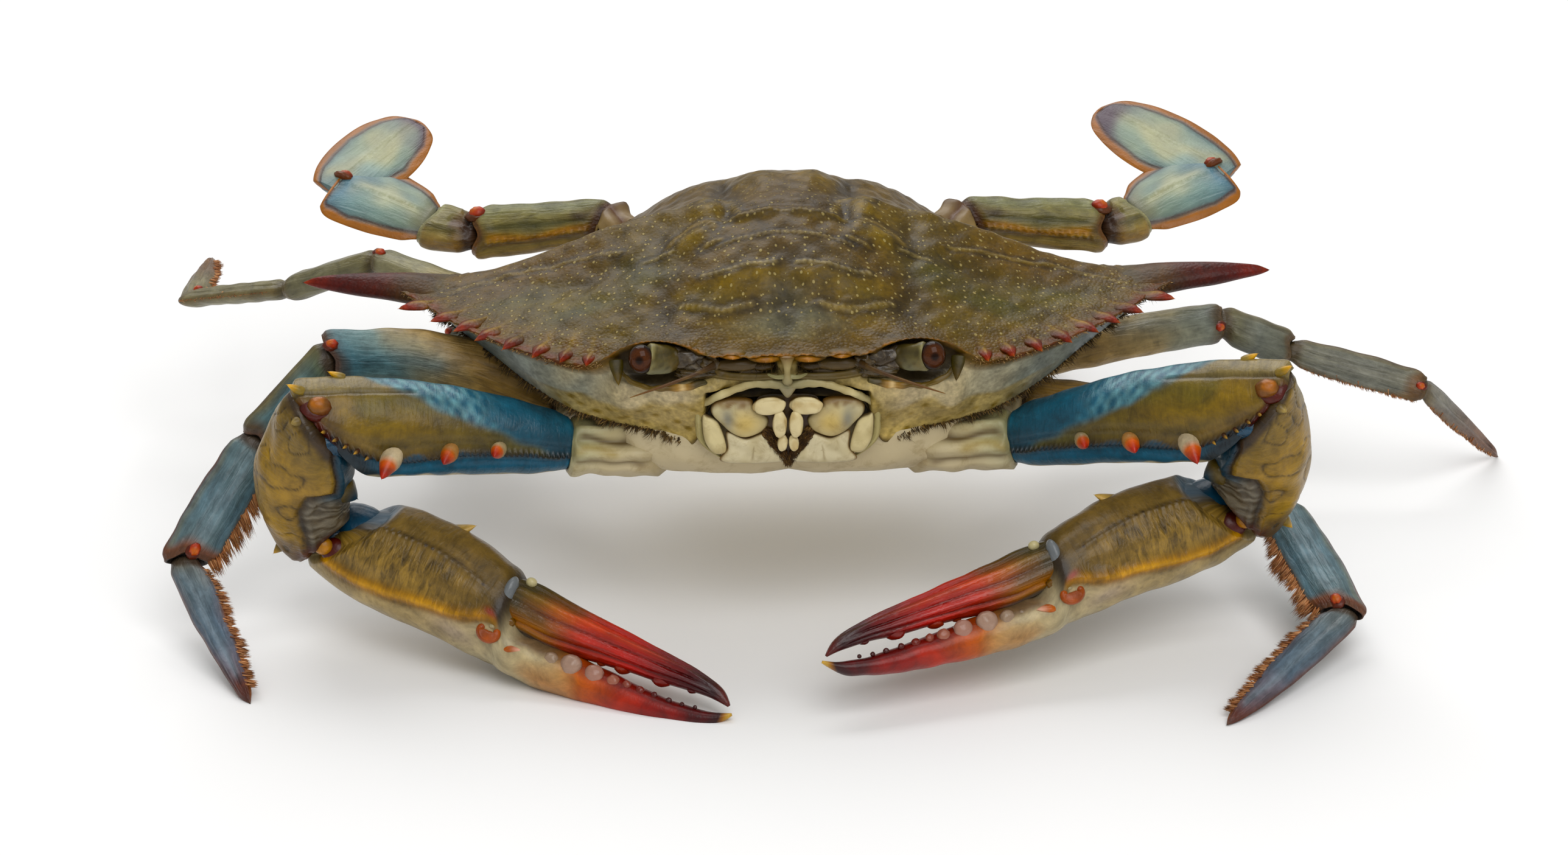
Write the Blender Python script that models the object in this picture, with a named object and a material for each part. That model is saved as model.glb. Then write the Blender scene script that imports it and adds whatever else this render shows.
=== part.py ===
"""A blue crab (Callinectes sapidus, adult female) at life size, standing still with its claws spread.

The crab faces -Y, its right side is at -X, and the floor is z = 0. Sizes below are in millimetres and
are turned to metres where a mesh is made. Every part of the body is a closed solid of its own, which
meets its neighbour face to face with a thin gap.
"""

from math import acos, atan2, cos, pi, sin

import bmesh
import bpy
from mathutils import Vector

MM = 0.001
GAP = 0.3
HALF_GAP = GAP / 2
EPS = 1e-6
FRAME_STEP = 0.01

# Driving sizes of the animal
SPINE_SPAN = 160.0
SPINE_HEIGHT = 50.0
DOME_HEIGHT = 64.5
CARAPACE_CENTRE_Y = 2.0
CEILING_HEIGHT = 40.5
RIM_INSET = 0.965
RIM_DROP = 1.3
DOME_POWER = 1.9

# Sampling of the solids
LIMB_SIDES = 10
LIMB_RINGS = 9
CARAPACE_COLUMNS = 64
CARAPACE_ROWS = 8

RIGHT, LEFT = -1, 1
SIDE_NAMES = {RIGHT: "right", LEFT: "left"}

# Carapace edge from the middle of the front, round the spine, to the middle of the rear. Each row has
# the edge point, the point of the lower edge below it, how sharply the dome falls towards the edge, and
# the height that the dome falls to before the edge itself turns up or down.
CARAPACE_EDGE = [
    ((0.0, -34.3, 50.6), (0.0, -31.0, 42.2), 1.15, 49.6),
    ((5.5, -34.8, 50.1), (5.5, -31.0, 42.2), 1.15, 49.6),
    ((11.5, -34.2, 50.2), (12.0, -30.5, 41.0), 1.2, 49.6),
    ((16.5, -32.9, 52.0), (14.6, -29.0, 34.0), 1.25, 49.6),
    ((21.5, -32.0, 52.4), (16.6, -28.2, 32.8), 1.35, 49.5),
    ((26.0, -31.4, 51.2), (20.5, -27.4, 34.2), 1.45, 49.3),
    ((32.0, -31.2, 48.2), (26.0, -26.2, 35.2), 1.6, 49.0),
    ((40.0, -28.0, 48.5), (34.0, -23.8, 36.6), 1.8, 48.8),
    ((48.0, -22.0, 49.0), (41.5, -20.0, 39.8), 2.1, 49.0),
    ((55.0, -14.5, 49.3), (47.5, -14.5, 42.6), 2.4, 49.3),
    ((61.0, -6.5, 49.7), (54.0, -8.0, 45.0), 2.6, 49.7),
    ((66.5, 0.5, 50.0), (60.0, -1.5, 47.3), 2.6, 49.9),
    ((62.0, 4.5, 49.4), (57.0, 1.0, 46.8), 2.5, 49.4),
    ((53.0, 9.5, 47.8), (49.0, 6.0, 44.2), 2.2, 48.0),
    ((44.0, 17.0, 46.3), (40.0, 13.0, 42.6), 1.8, 46.6),
    ((36.0, 25.5, 45.6), (33.0, 21.5, 42.0), 1.4, 45.8),
    ((30.5, 32.0, 46.4), (28.0, 28.5, 43.0), 1.15, 46.0),
    ((24.0, 34.9, 48.0), (22.5, 32.0, 44.0), 1.0, 47.4),
    ((12.0, 35.7, 50.0), (11.5, 33.0, 45.5), 0.92, 49.2),
    ((0.0, 35.8, 50.8), (0.0, 33.2, 46.0), 0.9, 50.0),
]

# Rounded regions of the back: middle x and y, reach in x and y, and height
LOBES = [
    ((0.0, -9.0), (9.0, 8.0), 1.0),
    ((0.0, 16.0), (7.0, 7.0), 1.0),
    ((11.0, -18.0), (6.0, 6.0), 0.7),
    ((26.0, 2.0), (11.0, 9.0), 1.0),
    ((17.0, 24.0), (8.0, 7.0), 0.8),
    ((9.5, 6.0), (3.0, 9.0), -0.9),
    ((18.0, -8.0), (3.5, 9.0), -0.6),
]

# Edge teeth on each side: root on the edge, tip, and half width of the root
EDGE_TEETH = [
    ((27.6, -30.6, 48.6), (26.9, -34.0, 45.8), 1.7),
    ((32.3, -30.6, 47.7), (33.2, -34.2, 48.0), 1.9),
    ((37.0, -28.7, 48.1), (38.6, -32.4, 48.5), 2.0),
    ((41.6, -26.2, 48.5), (43.8, -29.9, 48.9), 2.1),
    ((46.2, -22.9, 48.8), (48.9, -26.5, 49.2), 2.2),
    ((50.6, -18.7, 49.0), (53.6, -22.2, 49.4), 2.3),
    ((54.8, -14.2, 49.2), (58.1, -17.2, 49.5), 2.4),
    ((58.8, -9.0, 49.4), (62.6, -11.8, 49.7), 2.5),
]
FRONT_TEETH = [
    ((3.4, -33.6, 50.2), (3.6, -36.0, 50.3), 2.1),
    ((8.6, -33.2, 50.4), (8.8, -35.9, 50.7), 1.8),
]
SPINE_ROOT = (58.0, 0.0, 49.2)
SPINE_TIP = (SPINE_SPAN / 2, 1.0, SPINE_HEIGHT)
SPINE_HALF_WIDTH = 4.6
SPINE_HALF_HEIGHT = 2.0

ORBIT_MIDDLE = (20.6, -35.2, 48.6)
ORBIT_REACH = (6.8, 4.8, 3.3)
EYE_MIDDLE = (23.5, -33.6, 49.7)
EYE_RADIUS = 2.2
EYESTALK_PATH = [(13.8, -32.6, 47.9), (17.6, -33.3, 48.2), (22.0, -33.4, 49.2)]
EYESTALK_SECTIONS = [(0.0, 1.5, 1.5), (0.5, 1.6, 1.6), (1.0, 2.0, 2.0)]
ANTENNA_PATH = [(12.0, -34.0, 48.6), (14.6, -36.4, 48.4), (19.5, -38.0, 46.6), (25.2, -39.0, 44.4)]
ANTENNA_SECTIONS = [(0.0, 1.2, 1.2), (0.25, 0.9, 0.9), (0.4, 0.45, 0.45), (1.0, 0.3, 0.3)]

# Mouthparts of one side: middle, half sizes, of the three plates of the outer maxilliped
MOUTH_PLATES = [
    ((5.9, -31.6, 38.6), (5.0, 1.8, 3.0)),
    ((5.3, -30.3, 33.2), (4.7, 1.9, 4.2)),
    ((12.2, -30.6, 36.2), (1.5, 1.7, 5.4)),
]

THORAX_MIDDLE = (0.0, 1.0, 34.0)
THORAX_HALF = (35.0, 30.5, 10.5)
THORAX_BOX = 0.55
ABDOMEN_PATH = [(0, 33.0, 42.0), (0, 36.6, 38.5), (0, 35.6, 32.0), (0, 29.5, 26.2), (0, 18.0, 23.6),
                (0, 2.0, 23.0), (0, -13.0, 24.2)]
ABDOMEN_SECTIONS = [(0.0, 12.0, 1.5), (0.2, 17.0, 1.7), (0.45, 21.5, 1.7), (0.7, 20.5, 1.6),
                    (0.88, 13.0, 1.5), (1.0, 3.0, 1.0)]

# Claw arms: where the coxa leaves the body, the four joints out to the finger tips
CLAW_JOINTS = {
    RIGHT: [(-18.0, -21.5, 29.0), (-36.0, -24.0, 30.8), (-73.2, -33.0, 37.6), (-76.1, -27.0, 15.4),
            (-9.5, -62.0, 1.3)],
    LEFT: [(18.0, -21.5, 29.0), (37.0, -24.0, 30.9), (73.3, -38.0, 40.8), (74.1, -29.0, 18.8),
           (4.9, -62.0, 10.4)],
}
CLAW_GAPE = {RIGHT: 0.0, LEFT: -0.5}
HAND_HEIGHT = {RIGHT: 1.0, LEFT: 0.93}
CLAW_BASE_SECTIONS = [(0.0, 3.6, 3.6), (0.5, 4.7, 4.4), (1.0, 4.5, 4.2)]
CLAW_MERUS_SECTIONS = [(0.0, 4.0, 3.9, 0.2), (0.2, 5.0, 5.0, 0.4), (0.45, 6.4, 6.0, 0.8),
                       (0.8, 7.3, 6.2, 0.5), (1.0, 7.0, 5.8, 0.2)]
CLAW_CARPUS_SECTIONS = [(0.0, 6.6, 6.4, 0.0), (0.4, 8.0, 7.6, 0.0), (0.7, 6.5, 6.8, 1.1),
                        (0.85, 4.8, 5.6, 2.0), (1.0, 3.4, 4.6, 2.2)]
CARPUS_BULGE = {RIGHT: -4.2, LEFT: 2.4}
# Spines of an arm: place along it, place across and through it as shares of its half sizes, and length
CLAW_MERUS_SPINES = [(0.35, -0.4, 0.85, 2.2), (0.49, -0.55, 0.75, 2.4), (0.67, -0.62, 0.7, 3.0),
                     (0.7, 0.9, 0.3, 1.8)]
CLAW_CARPUS_SPINES = [(0.34, -0.9, 0.1, 2.0), (0.58, 0.85, 0.4, 1.8)]
PALM_SPINES = [(0.42, 0.95, 0.1, 1.8)]
# Along the hand: distance, half height, half thickness, height of the middle above the line to the tip
PALM_STATIONS = [
    (-6.0, 3.4, 4.4, 1.4), (0.0, 4.9, 5.6, 1.3), (8.0, 7.5, 7.2, 1.7), (17.0, 8.9, 7.8, 1.9),
    (27.0, 8.8, 7.4, 1.8), (34.0, 7.6, 6.4, 0.6), (39.0, 4.9, 4.8, -3.2), (46.0, 3.0, 3.5, -4.2),
    (57.0, 2.4, 2.7, -3.4), (68.0, 1.7, 1.9, -2.3), (78.5, 0.45, 0.5, 0.0),
]
FINGER_STATIONS = [
    (35.5, 3.6, 3.8, 3.5), (41.0, 3.7, 3.9, 3.5), (48.0, 3.2, 3.4, 2.9), (58.0, 2.4, 2.6, 2.6),
    (68.0, 1.6, 1.9, 2.4), (77.5, 0.45, 0.5, 1.7),
]
HAND_LENGTH = 78.5
KNUCKLE = 35.0
HAND_FACE = (0.0, -0.9, 0.45)
ARM_FACE = (0.0, -1.0, 0.3)
MOLARS = [45.0, 49.0, 53.0, 57.0, 61.0, 65.0]
MOLAR_RADIUS = 1.3
MOLAR_SINK = 0.3

# Walking legs: root inside the body, start of the leg, knees, and foot
LEG_JOINTS = {
    ("leg2", RIGHT): [(-26, -9, 33), (-38.5, -12, 33.6), (-75.0, -12, 41.8), (-87.4, -16, 28.6),
                      (-98.8, -28.5, 12.8), (-86.3, -54, 0.1)],
    ("leg2", LEFT): [(26, -9, 33), (38.5, -12, 32.6), (77.5, -8, 26.0), (81.4, -14, 13.8),
                     (89.2, -41, 6.8), (68.3, -66, 0.3)],
    ("leg3", RIGHT): [(-28, 2, 32), (-39, 5, 31.2), (-57, 34, 26.5), (-56, 47, 18.0), (-53, 63, 7.0),
                      (-47, 82, 0.0)],
    ("leg3", LEFT): [(28, 2, 33), (40, 4, 33.0), (74.4, 20, 32.6), (86.8, 21, 26.8), (109.4, 18, 20.8),
                     (125.8, 35, -0.1)],
    ("leg4", RIGHT): [(-26, 14, 33), (-38, 18, 34.0), (-70.5, 32, 41.2), (-86.8, 38, 33.9),
                      (-105.2, 48, 28.3), (-104.6, 72, 26.4)],
    ("leg4", LEFT): [(26, 14, 33), (37, 18, 33.0), (50.5, 40, 32.6), (53, 54, 26.0), (52, 67, 13.0),
                     (46, 80, -0.1)],
}
LEG_FACES = {
    ("leg2", RIGHT): (0.0, -1.0, 0.35),
    ("leg2", LEFT): (0.0, -0.6, 0.8),
    ("leg3", RIGHT): (-0.6, 0.0, 1.0),
    ("leg3", LEFT): (0.0, -0.7, 0.7),
    ("leg4", RIGHT): (0.0, 0.25, 1.0),
    ("leg4", LEFT): (1.0, 0.0, 0.3),
}
# How large each stretch of a leg is against the sections below, from merus to dactyl
LEG_SCALE = {"leg2": (0.9, 0.84, 1.0, 1.0), "leg3": (0.76, 0.82, 0.7, 0.78), "leg4": (0.82, 0.82, 0.82, 0.82)}
COXA_SCALE = {"leg2": 1.0, "leg3": 0.86, "leg4": 0.82}
# How far the middle of a merus is arched off the straight line
MERUS_ARCH = {("leg2", RIGHT): (0.0, 0.0, 3.6), ("leg3", LEFT): (0.0, 0.0, 0.6)}
COXA_SECTIONS = [(0.0, 5.0, 5.0), (0.6, 5.4, 5.0), (1.0, 4.6, 4.2)]
MERUS_SECTIONS = [(0.0, 4.2, 3.6), (0.15, 4.5, 3.6), (0.6, 4.7, 3.4), (1.0, 3.9, 3.0)]
CARPUS_SECTIONS = [(0.0, 3.5, 2.8), (0.5, 3.8, 2.8), (1.0, 3.6, 2.4)]
PROPODUS_SECTIONS = [(0.0, 2.6, 1.9), (0.35, 4.0, 2.1), (0.75, 3.8, 1.9), (1.0, 2.9, 1.7)]
DACTYL_SECTIONS = [(0.0, 2.6, 1.5), (0.3, 2.9, 1.5), (0.7, 1.9, 1.2), (1.0, 0.6, 0.6)]
# Locks of stiff hair along the inner edge of the propodus of the first walking legs: where the row starts
# and ends along it, how many locks it has, and how far they stand out
FRINGED_LEG = "leg2"
FRINGE = (0.3, 0.72, 7, 3.5)
LOCK_HALF_WIDTH = 2.0
LOCK_FLATNESS = 0.22
LOCK_SLANT = 0.45

PADDLE_JOINTS = {
    RIGHT: [(-23, 27, 38.0), (-31.0, 40.5, 44.8), (-54.5, 43.5, 41.6), (-63.2, 47.0, 42.0),
            (-80.2, 54.3, 45.8), (-65.2, 71.5, 52.0)],
    LEFT: [(23, 27, 38.0), (31.5, 40.5, 44.4), (55.8, 43.5, 41.4), (62.4, 46.5, 42.2),
           (78.2, 55.1, 45.9), (56.4, 72.6, 52.2)],
}
PADDLE_FACE = (0.0, -0.342, 0.94)
PADDLE_ROOT_SECTIONS = [(0.0, 4.0, 4.0), (0.6, 4.4, 4.2), (1.0, 3.9, 3.6)]
PADDLE_MERUS_SECTIONS = [(0.0, 3.6, 3.4), (0.3, 4.0, 3.6), (0.8, 4.3, 3.5), (1.0, 3.8, 3.2)]
PADDLE_CARPUS_SECTIONS = [(0.0, 3.7, 3.0), (0.5, 4.4, 3.0), (1.0, 4.2, 2.2)]
PADDLE_PROPODUS_SECTIONS = [(0.0, 4.2, 1.7, 0.3), (0.3, 7.2, 1.7, 1.2), (0.65, 8.2, 1.5, 1.5),
                            (0.9, 6.8, 1.3, 1.0), (1.0, 5.2, 1.2, 0.8)]
PADDLE_DACTYL_SECTIONS = [(0.0, 4.6, 1.1, 0.0), (0.2, 7.0, 1.1, 0.0), (0.5, 8.3, 1.0, 0.3),
                          (0.78, 6.6, 0.8, 0.7), (0.94, 3.8, 0.6, 0.7), (1.0, 1.6, 0.4, 0.5)]

# Shell colours, as red, green, blue and how rough the surface is
SHELL_COLOURS = {
    "back_shell": ((0.15, 0.13, 0.05), 0.4),
    "pale_shell": ((0.62, 0.56, 0.4), 0.5),
    "eye_lens": ((0.05, 0.015, 0.01), 0.1),
    "feeler": ((0.2, 0.11, 0.05), 0.5),
    "claw_shell": ((0.22, 0.17, 0.05), 0.35),
    "red_tip": ((0.5, 0.05, 0.03), 0.35),
    "leg_shell": ((0.12, 0.2, 0.25), 0.4),
    "paddle_shell": ((0.3, 0.36, 0.3), 0.4),
}


def clear_scene():
    """Removes what a new Blender file starts with."""
    for thing in list(bpy.data.objects):
        bpy.data.objects.remove(thing)


def shell_material(name):
    """One plain material per kind of shell."""
    existing = bpy.data.materials.get(name)
    if existing:
        return existing
    colour, roughness = SHELL_COLOURS[name]
    material = bpy.data.materials.new(name)
    material.use_nodes = True
    shader = material.node_tree.nodes["Principled BSDF"]
    shader.inputs["Base Color"].default_value = (*colour, 1.0)
    shader.inputs["Roughness"].default_value = roughness
    shader.inputs["Metallic"].default_value = 0.0
    return material


def blend_rows(rows, place):
    """Smooth value between rows of numbers that are evenly spaced, with place from 0 to 1."""
    last = len(rows) - 1
    spot = min(max(place, 0.0), 1.0) * last
    first = min(int(spot), last - 1)
    t = spot - first
    before = rows[max(first - 1, 0)]
    start, end = rows[first], rows[first + 1]
    after = rows[min(first + 2, last)]
    result = []
    for a, b, c, d in zip(before, start, end, after):
        result.append(0.5 * (2 * b + (c - a) * t + (2 * a - 5 * b + 4 * c - d) * t * t
                             + (3 * b - a - 3 * c + d) * t ** 3))
    return result


def read_sections(sections, place):
    """Straight-line value between sections, whose first number is the place along the limb."""
    for start, end in zip(sections, sections[1:]):
        if place <= end[0]:
            t = (place - start[0]) / (end[0] - start[0])
            return [a + (b - a) * t for a, b in zip(start[1:], end[1:])]
    return list(sections[-1][1:])


def face_outward(bm):
    """Points every face of a closed mesh outwards."""
    bmesh.ops.recalc_face_normals(bm, faces=bm.faces)
    if bm.calc_volume(signed=True) < 0:
        bmesh.ops.reverse_faces(bm, faces=bm.faces)


def limb_frame(path, face, place):
    """Middle of a limb at a place from 0 to 1 along it, with the ways across and through it."""
    centre = Vector(blend_rows(path, place))
    ahead = Vector(blend_rows(path, min(place + FRAME_STEP, 1.0)))
    behind = Vector(blend_rows(path, max(place - FRAME_STEP, 0.0)))
    along = (ahead - behind).normalized()
    broad = along.cross(Vector(face)).normalized()
    thin = broad.cross(along).normalized()
    return centre, broad, thin


def upward(path, face):
    """1 or -1, which turns the way across a limb upwards."""
    return -1 if limb_frame(path, face, 0.5)[1].z < -0.2 else 1


def limb(path, sections, face, sides=LIMB_SIDES, rings=LIMB_RINGS, edge=1.0):
    """A closed limb along a path. Sections give half breadth, half thickness and a shift of the middle
    upwards along the breadth, face is the way its flat side looks, and edge above 1 thins its edges."""
    bm = bmesh.new()
    bmesh.ops.create_uvsphere(bm, u_segments=sides, v_segments=rings + 1, radius=1.0)
    up = upward(path, face)
    for vert in bm.verts:
        ring = round(acos(max(-1.0, min(1.0, vert.co.z))) / pi * (rings + 1))
        at_pole = ring in (0, rings + 1)
        place = min(max((ring - 1) / (rings - 1), 0.0), 1.0)
        centre, broad, thin = limb_frame(path, face, place)
        half_broad, half_thin, *shift = read_sections(sections, place)
        angle = atan2(vert.co.y, vert.co.x)
        reach = 0.0 if at_pole else 1.0
        across = cos(angle) * half_broad * reach
        through = sin(angle) * abs(sin(angle)) ** (edge - 1.0) * half_thin * reach
        offset = up * shift[0] if shift else 0.0
        vert.co = centre + broad * (across + offset) + thin * through
    face_outward(bm)
    return bm


def limb_spines(path, sections, face, spines):
    """Cones that stand out of a limb, each with its root sunk in it."""
    cones = []
    up = upward(path, face)
    for place, across, through, length in spines:
        centre, broad, thin = limb_frame(path, face, place)
        half_broad, half_thin, *shift = read_sections(sections, place)
        middle = centre + broad * up * (shift[0] if shift else 0.0)
        out = broad * up * across * half_broad + thin * through * half_thin
        tip = middle + out + out.normalized() * length
        cones.append(cone(middle + out * 0.6, tip, length * 0.55, flatness=1.0, sides=6))
    return cones


def limb_fringe(path, sections, face, side, fringe):
    """Overlapping locks along the edge of a limb that looks towards the middle of the body."""
    first, last, count, length = fringe
    along = (Vector(path[-1]) - Vector(path[0])).normalized()
    locks = []
    for number in range(count):
        place = first + (last - first) * number / (count - 1)
        centre, broad, thin = limb_frame(path, face, place)
        half_broad = read_sections(sections, place)[0]
        inner = -broad if broad.x * side > 0 else broad
        root = centre + inner * half_broad * 0.4
        tip = centre + inner * (half_broad + length) + along * length * LOCK_SLANT
        locks.append(cone(root, tip, LOCK_HALF_WIDTH, thin, LOCK_FLATNESS, 6))
    return locks


def trim(bm, point, normal):
    """Cuts away all that lies beyond a plane and closes the cut."""
    bmesh.ops.bisect_plane(bm, geom=bm.verts[:] + bm.edges[:] + bm.faces[:], dist=EPS, plane_co=Vector(point),
                           plane_no=Vector(normal), clear_outer=True)
    rim = [edge for edge in bm.edges if edge.is_boundary]
    if rim:
        bmesh.ops.holes_fill(bm, edges=rim, sides=0)
    face_outward(bm)


def cone(root, tip, radius, flat=(0.0, 0.0, 1.0), flatness=0.6, sides=8):
    """A pointed tooth or spine from a root to a tip, flattened across one direction."""
    root, tip = Vector(root), Vector(tip)
    along = (tip - root).normalized()
    across = along.cross(Vector(flat)).normalized()
    thin = across.cross(along).normalized()
    length = (tip - root).length
    bm = bmesh.new()
    bmesh.ops.create_cone(bm, cap_ends=True, segments=sides, radius1=radius, radius2=0.0, depth=length)
    for vert in bm.verts:
        x, y, z = vert.co
        vert.co = root + across * x + thin * y * flatness + along * (z + length / 2)
    face_outward(bm)
    return bm


def ball(middle, half, columns=12, rows=8, box=1.0):
    """An ellipsoid; box below 1 makes it fuller towards its corners."""
    bm = bmesh.new()
    bmesh.ops.create_uvsphere(bm, u_segments=columns, v_segments=rows, radius=1.0)
    for vert in bm.verts:
        shaped = [abs(value) ** box * (1 if value >= 0 else -1) * size for value, size in zip(vert.co, half)]
        vert.co = Vector(middle) + Vector(shaped)
    return bm


def make_object(name, bm, colour, collection):
    """Turns a millimetre bmesh into an object in metres, shaded smooth with sharp rims kept."""
    bmesh.ops.scale(bm, vec=(MM, MM, MM), verts=bm.verts)
    bmesh.ops.triangulate(bm, faces=bm.faces)
    mesh = bpy.data.meshes.new(name)
    bm.to_mesh(mesh)
    bm.free()
    mesh.shade_smooth()
    mesh.materials.append(shell_material(colour))
    thing = bpy.data.objects.new(name, mesh)
    collection.objects.link(thing)
    return thing


def keep_largest(mesh):
    """Keeps only the largest closed surface of a mesh."""
    bm = bmesh.new()
    bm.from_mesh(mesh)
    waiting = set(bm.verts)
    groups = []
    while waiting:
        seed = waiting.pop()
        group, stack = {seed}, [seed]
        while stack:
            for link in stack.pop().link_edges:
                for vert in link.verts:
                    if vert in waiting:
                        waiting.discard(vert)
                        group.add(vert)
                        stack.append(vert)
        groups.append(group)
    largest = max(groups, key=len)
    loose = [vert for group in groups if group is not largest for vert in group]
    bmesh.ops.delete(bm, geom=loose, context="VERTS")
    bmesh.ops.triangulate(bm, faces=bm.faces)
    bm.to_mesh(mesh)
    bm.free()


def combine(thing, tools, operation):
    """Joins closed meshes to an object, or cuts them out of it, and removes them."""
    group = bpy.data.collections.new("tools")
    bpy.context.scene.collection.children.link(group)
    for number, bm in enumerate(tools):
        tool = make_object(f"tool_{number}", bm, "back_shell", group)
        tool.hide_render = True
        tool.display_type = "WIRE"
    step = thing.modifiers.new("combine", "BOOLEAN")
    step.operation = operation
    step.operand_type = "COLLECTION"
    step.collection = group
    step.solver = "EXACT"
    bpy.context.view_layer.update()
    evaluated = thing.evaluated_get(bpy.context.evaluated_depsgraph_get())
    mesh = bpy.data.meshes.new_from_object(evaluated)
    thing.modifiers.remove(step)
    old = thing.data
    thing.data = mesh
    bpy.data.meshes.remove(old)
    mesh.name = thing.name
    for tool in list(group.objects):
        bpy.data.objects.remove(tool)
    bpy.data.collections.remove(group)
    keep_largest(mesh)


def swollen(bm, by=GAP):
    """A copy of a closed mesh, larger all round by the gap, for cutting its neighbour clear of it."""
    copy = bm.copy()
    copy.normal_update()
    moves = [vert.normal * by * min(vert.calc_shell_factor(), 2.0) for vert in copy.verts]
    for vert, move in zip(copy.verts, moves):
        vert.co += move
    return copy


def grown(thing):
    """The same for a finished object, in millimetres."""
    bm = bmesh.new()
    bm.from_mesh(thing.data)
    bmesh.ops.scale(bm, vec=(1 / MM, 1 / MM, 1 / MM), verts=bm.verts)
    larger = swollen(bm)
    bm.free()
    return larger


def mirrored(point, side):
    """A point or list of points moved to the crab's right or left side."""
    return (point[0] * side, *point[1:])


def carapace_profile(place, rise):
    """A point of the carapace. Place runs along the edge, 0 front to 1 rear. Rise is 0 at the top of the
    dome and 1 at the edge, reaches 2 at the lower edge, and 3 at the middle of the underside."""
    edge = Vector(blend_rows([row[0] for row in CARAPACE_EDGE], place))
    lower = Vector(blend_rows([row[1] for row in CARAPACE_EDGE], place))
    fall, base = blend_rows([row[2:] for row in CARAPACE_EDGE], place)
    middle = Vector((0.0, CARAPACE_CENTRE_Y, 0.0))
    if rise <= 1.0:
        x = edge.x * rise
        y = middle.y + (edge.y - middle.y) * rise
        z = base + (DOME_HEIGHT - base) * (1 - rise ** DOME_POWER) ** fall + (edge.z - base) * rise ** 7
        return Vector((x, y, z + lobe_height(x, y) * (1 - rise ** 6)))
    if rise <= 2.0:
        rim = Vector((edge.x * RIM_INSET, middle.y + (edge.y - middle.y) * RIM_INSET, edge.z - RIM_DROP))
        return rim.lerp(lower, rise - 1.0)
    ceiling = Vector((0.0, CARAPACE_CENTRE_Y, CEILING_HEIGHT))
    inward = rise - 2.0
    point = lower.lerp(ceiling, inward)
    point.z = lower.z + (CEILING_HEIGHT - lower.z) * min(1.0, inward * 4)
    return point


def lobe_height(x, y):
    """Height that the swollen regions and grooves add to the back."""
    height = 0.0
    for (mid_x, mid_y), (reach_x, reach_y), rise in LOBES:
        away = ((abs(x) - mid_x) / reach_x) ** 2 + ((y - mid_y) / reach_y) ** 2
        height += rise * max(0.0, 1 - away / 4) ** 2
    return height


def carapace_shell():
    """The shield from its dome down to the hair line, before its teeth are set on it."""
    rises = [index / CARAPACE_ROWS for index in range(1, CARAPACE_ROWS + 1)]
    rises += [1.001, 1.5, 2.0, 2.12, 2.25, 2.6]
    bm = bmesh.new()
    bmesh.ops.create_uvsphere(bm, u_segments=CARAPACE_COLUMNS, v_segments=len(rises) + 1, radius=1.0)
    for vert in bm.verts:
        ring = round(acos(max(-1.0, min(1.0, vert.co.z))) / pi * (len(rises) + 1))
        if ring == 0:
            vert.co = carapace_profile(0.0, 0.0)
            continue
        if ring == len(rises) + 1:
            vert.co = carapace_profile(0.0, 3.0)
            continue
        turn = atan2(vert.co.x, -vert.co.y) / pi
        point = carapace_profile(abs(turn), rises[ring - 1])
        side = 1 if turn >= 0 else -1
        vert.co = Vector((point.x * side, point.y, point.z))
    face_outward(bm)
    return bm


def build_carapace(group):
    """Shield, edge teeth and side spines in one solid, with the two eye sockets cut out."""
    carapace = make_object("carapace", carapace_shell(), "back_shell", group)
    horns = []
    for side in (RIGHT, LEFT):
        for root, tip, radius in EDGE_TEETH + FRONT_TEETH:
            horns.append(cone(mirrored(root, side), mirrored(tip, side), radius, sides=6))
        flatness = SPINE_HALF_HEIGHT / SPINE_HALF_WIDTH
        horns.append(cone(mirrored(SPINE_ROOT, side), mirrored(SPINE_TIP, side), SPINE_HALF_WIDTH,
                          flatness=flatness, sides=10))
    combine(carapace, horns, "UNION")
    sockets = [ball(mirrored(ORBIT_MIDDLE, side), ORBIT_REACH) for side in (RIGHT, LEFT)]
    combine(carapace, sockets, "DIFFERENCE")
    return carapace


def build_head(group, carapace):
    """Eyes on their stalks, feelers and the outer mouthparts."""
    pieces = []
    for side in (RIGHT, LEFT):
        name = SIDE_NAMES[side]
        eye = make_object(f"eye_{name}", ball(mirrored(EYE_MIDDLE, side), [EYE_RADIUS] * 3), "eye_lens", group)
        path = [mirrored(point, side) for point in EYESTALK_PATH]
        stalk = make_object(f"eyestalk_{name}", limb(path, EYESTALK_SECTIONS, (0, -1, 0.2), 8, 6),
                            "pale_shell", group)
        combine(stalk, [grown(eye)], "DIFFERENCE")
        path = [mirrored(point, side) for point in ANTENNA_PATH]
        feeler = make_object(f"antenna_{name}", limb(path, ANTENNA_SECTIONS, (0, -1, 0.3), 6, 9),
                             "feeler", group)
        plates = [ball(mirrored(middle, side), half, 12, 8, 0.7) for middle, half in MOUTH_PLATES]
        mouth = make_object(f"maxilliped_{name}", plates[0], "pale_shell", group)
        combine(mouth, plates[1:], "UNION")
        pieces += [eye, stalk, feeler, mouth]
    combine(carapace, [grown(piece) for piece in pieces], "DIFFERENCE")
    return pieces


def joint_normal(joints, index):
    """Direction of the plane that parts the limb at a joint, half way between its two stretches."""
    inward = (Vector(joints[index]) - Vector(joints[index - 1])).normalized()
    if index == len(joints) - 1:
        return inward
    outward = (Vector(joints[index + 1]) - Vector(joints[index])).normalized()
    return (inward + outward).normalized()


def segment_path(joints, index, overrun, bend=(0, 0, 0)):
    """Path between two joints, carried past each joint so that it can be cut at the joint's plane."""
    start, end = Vector(joints[index]), Vector(joints[index + 1])
    along = (end - start).normalized()
    at_tip = index + 1 == len(joints) - 1
    last = end if at_tip else end + along * overrun
    return [tuple(start - along * overrun), tuple((start + end) / 2 + Vector(bend)), tuple(last)]


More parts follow.
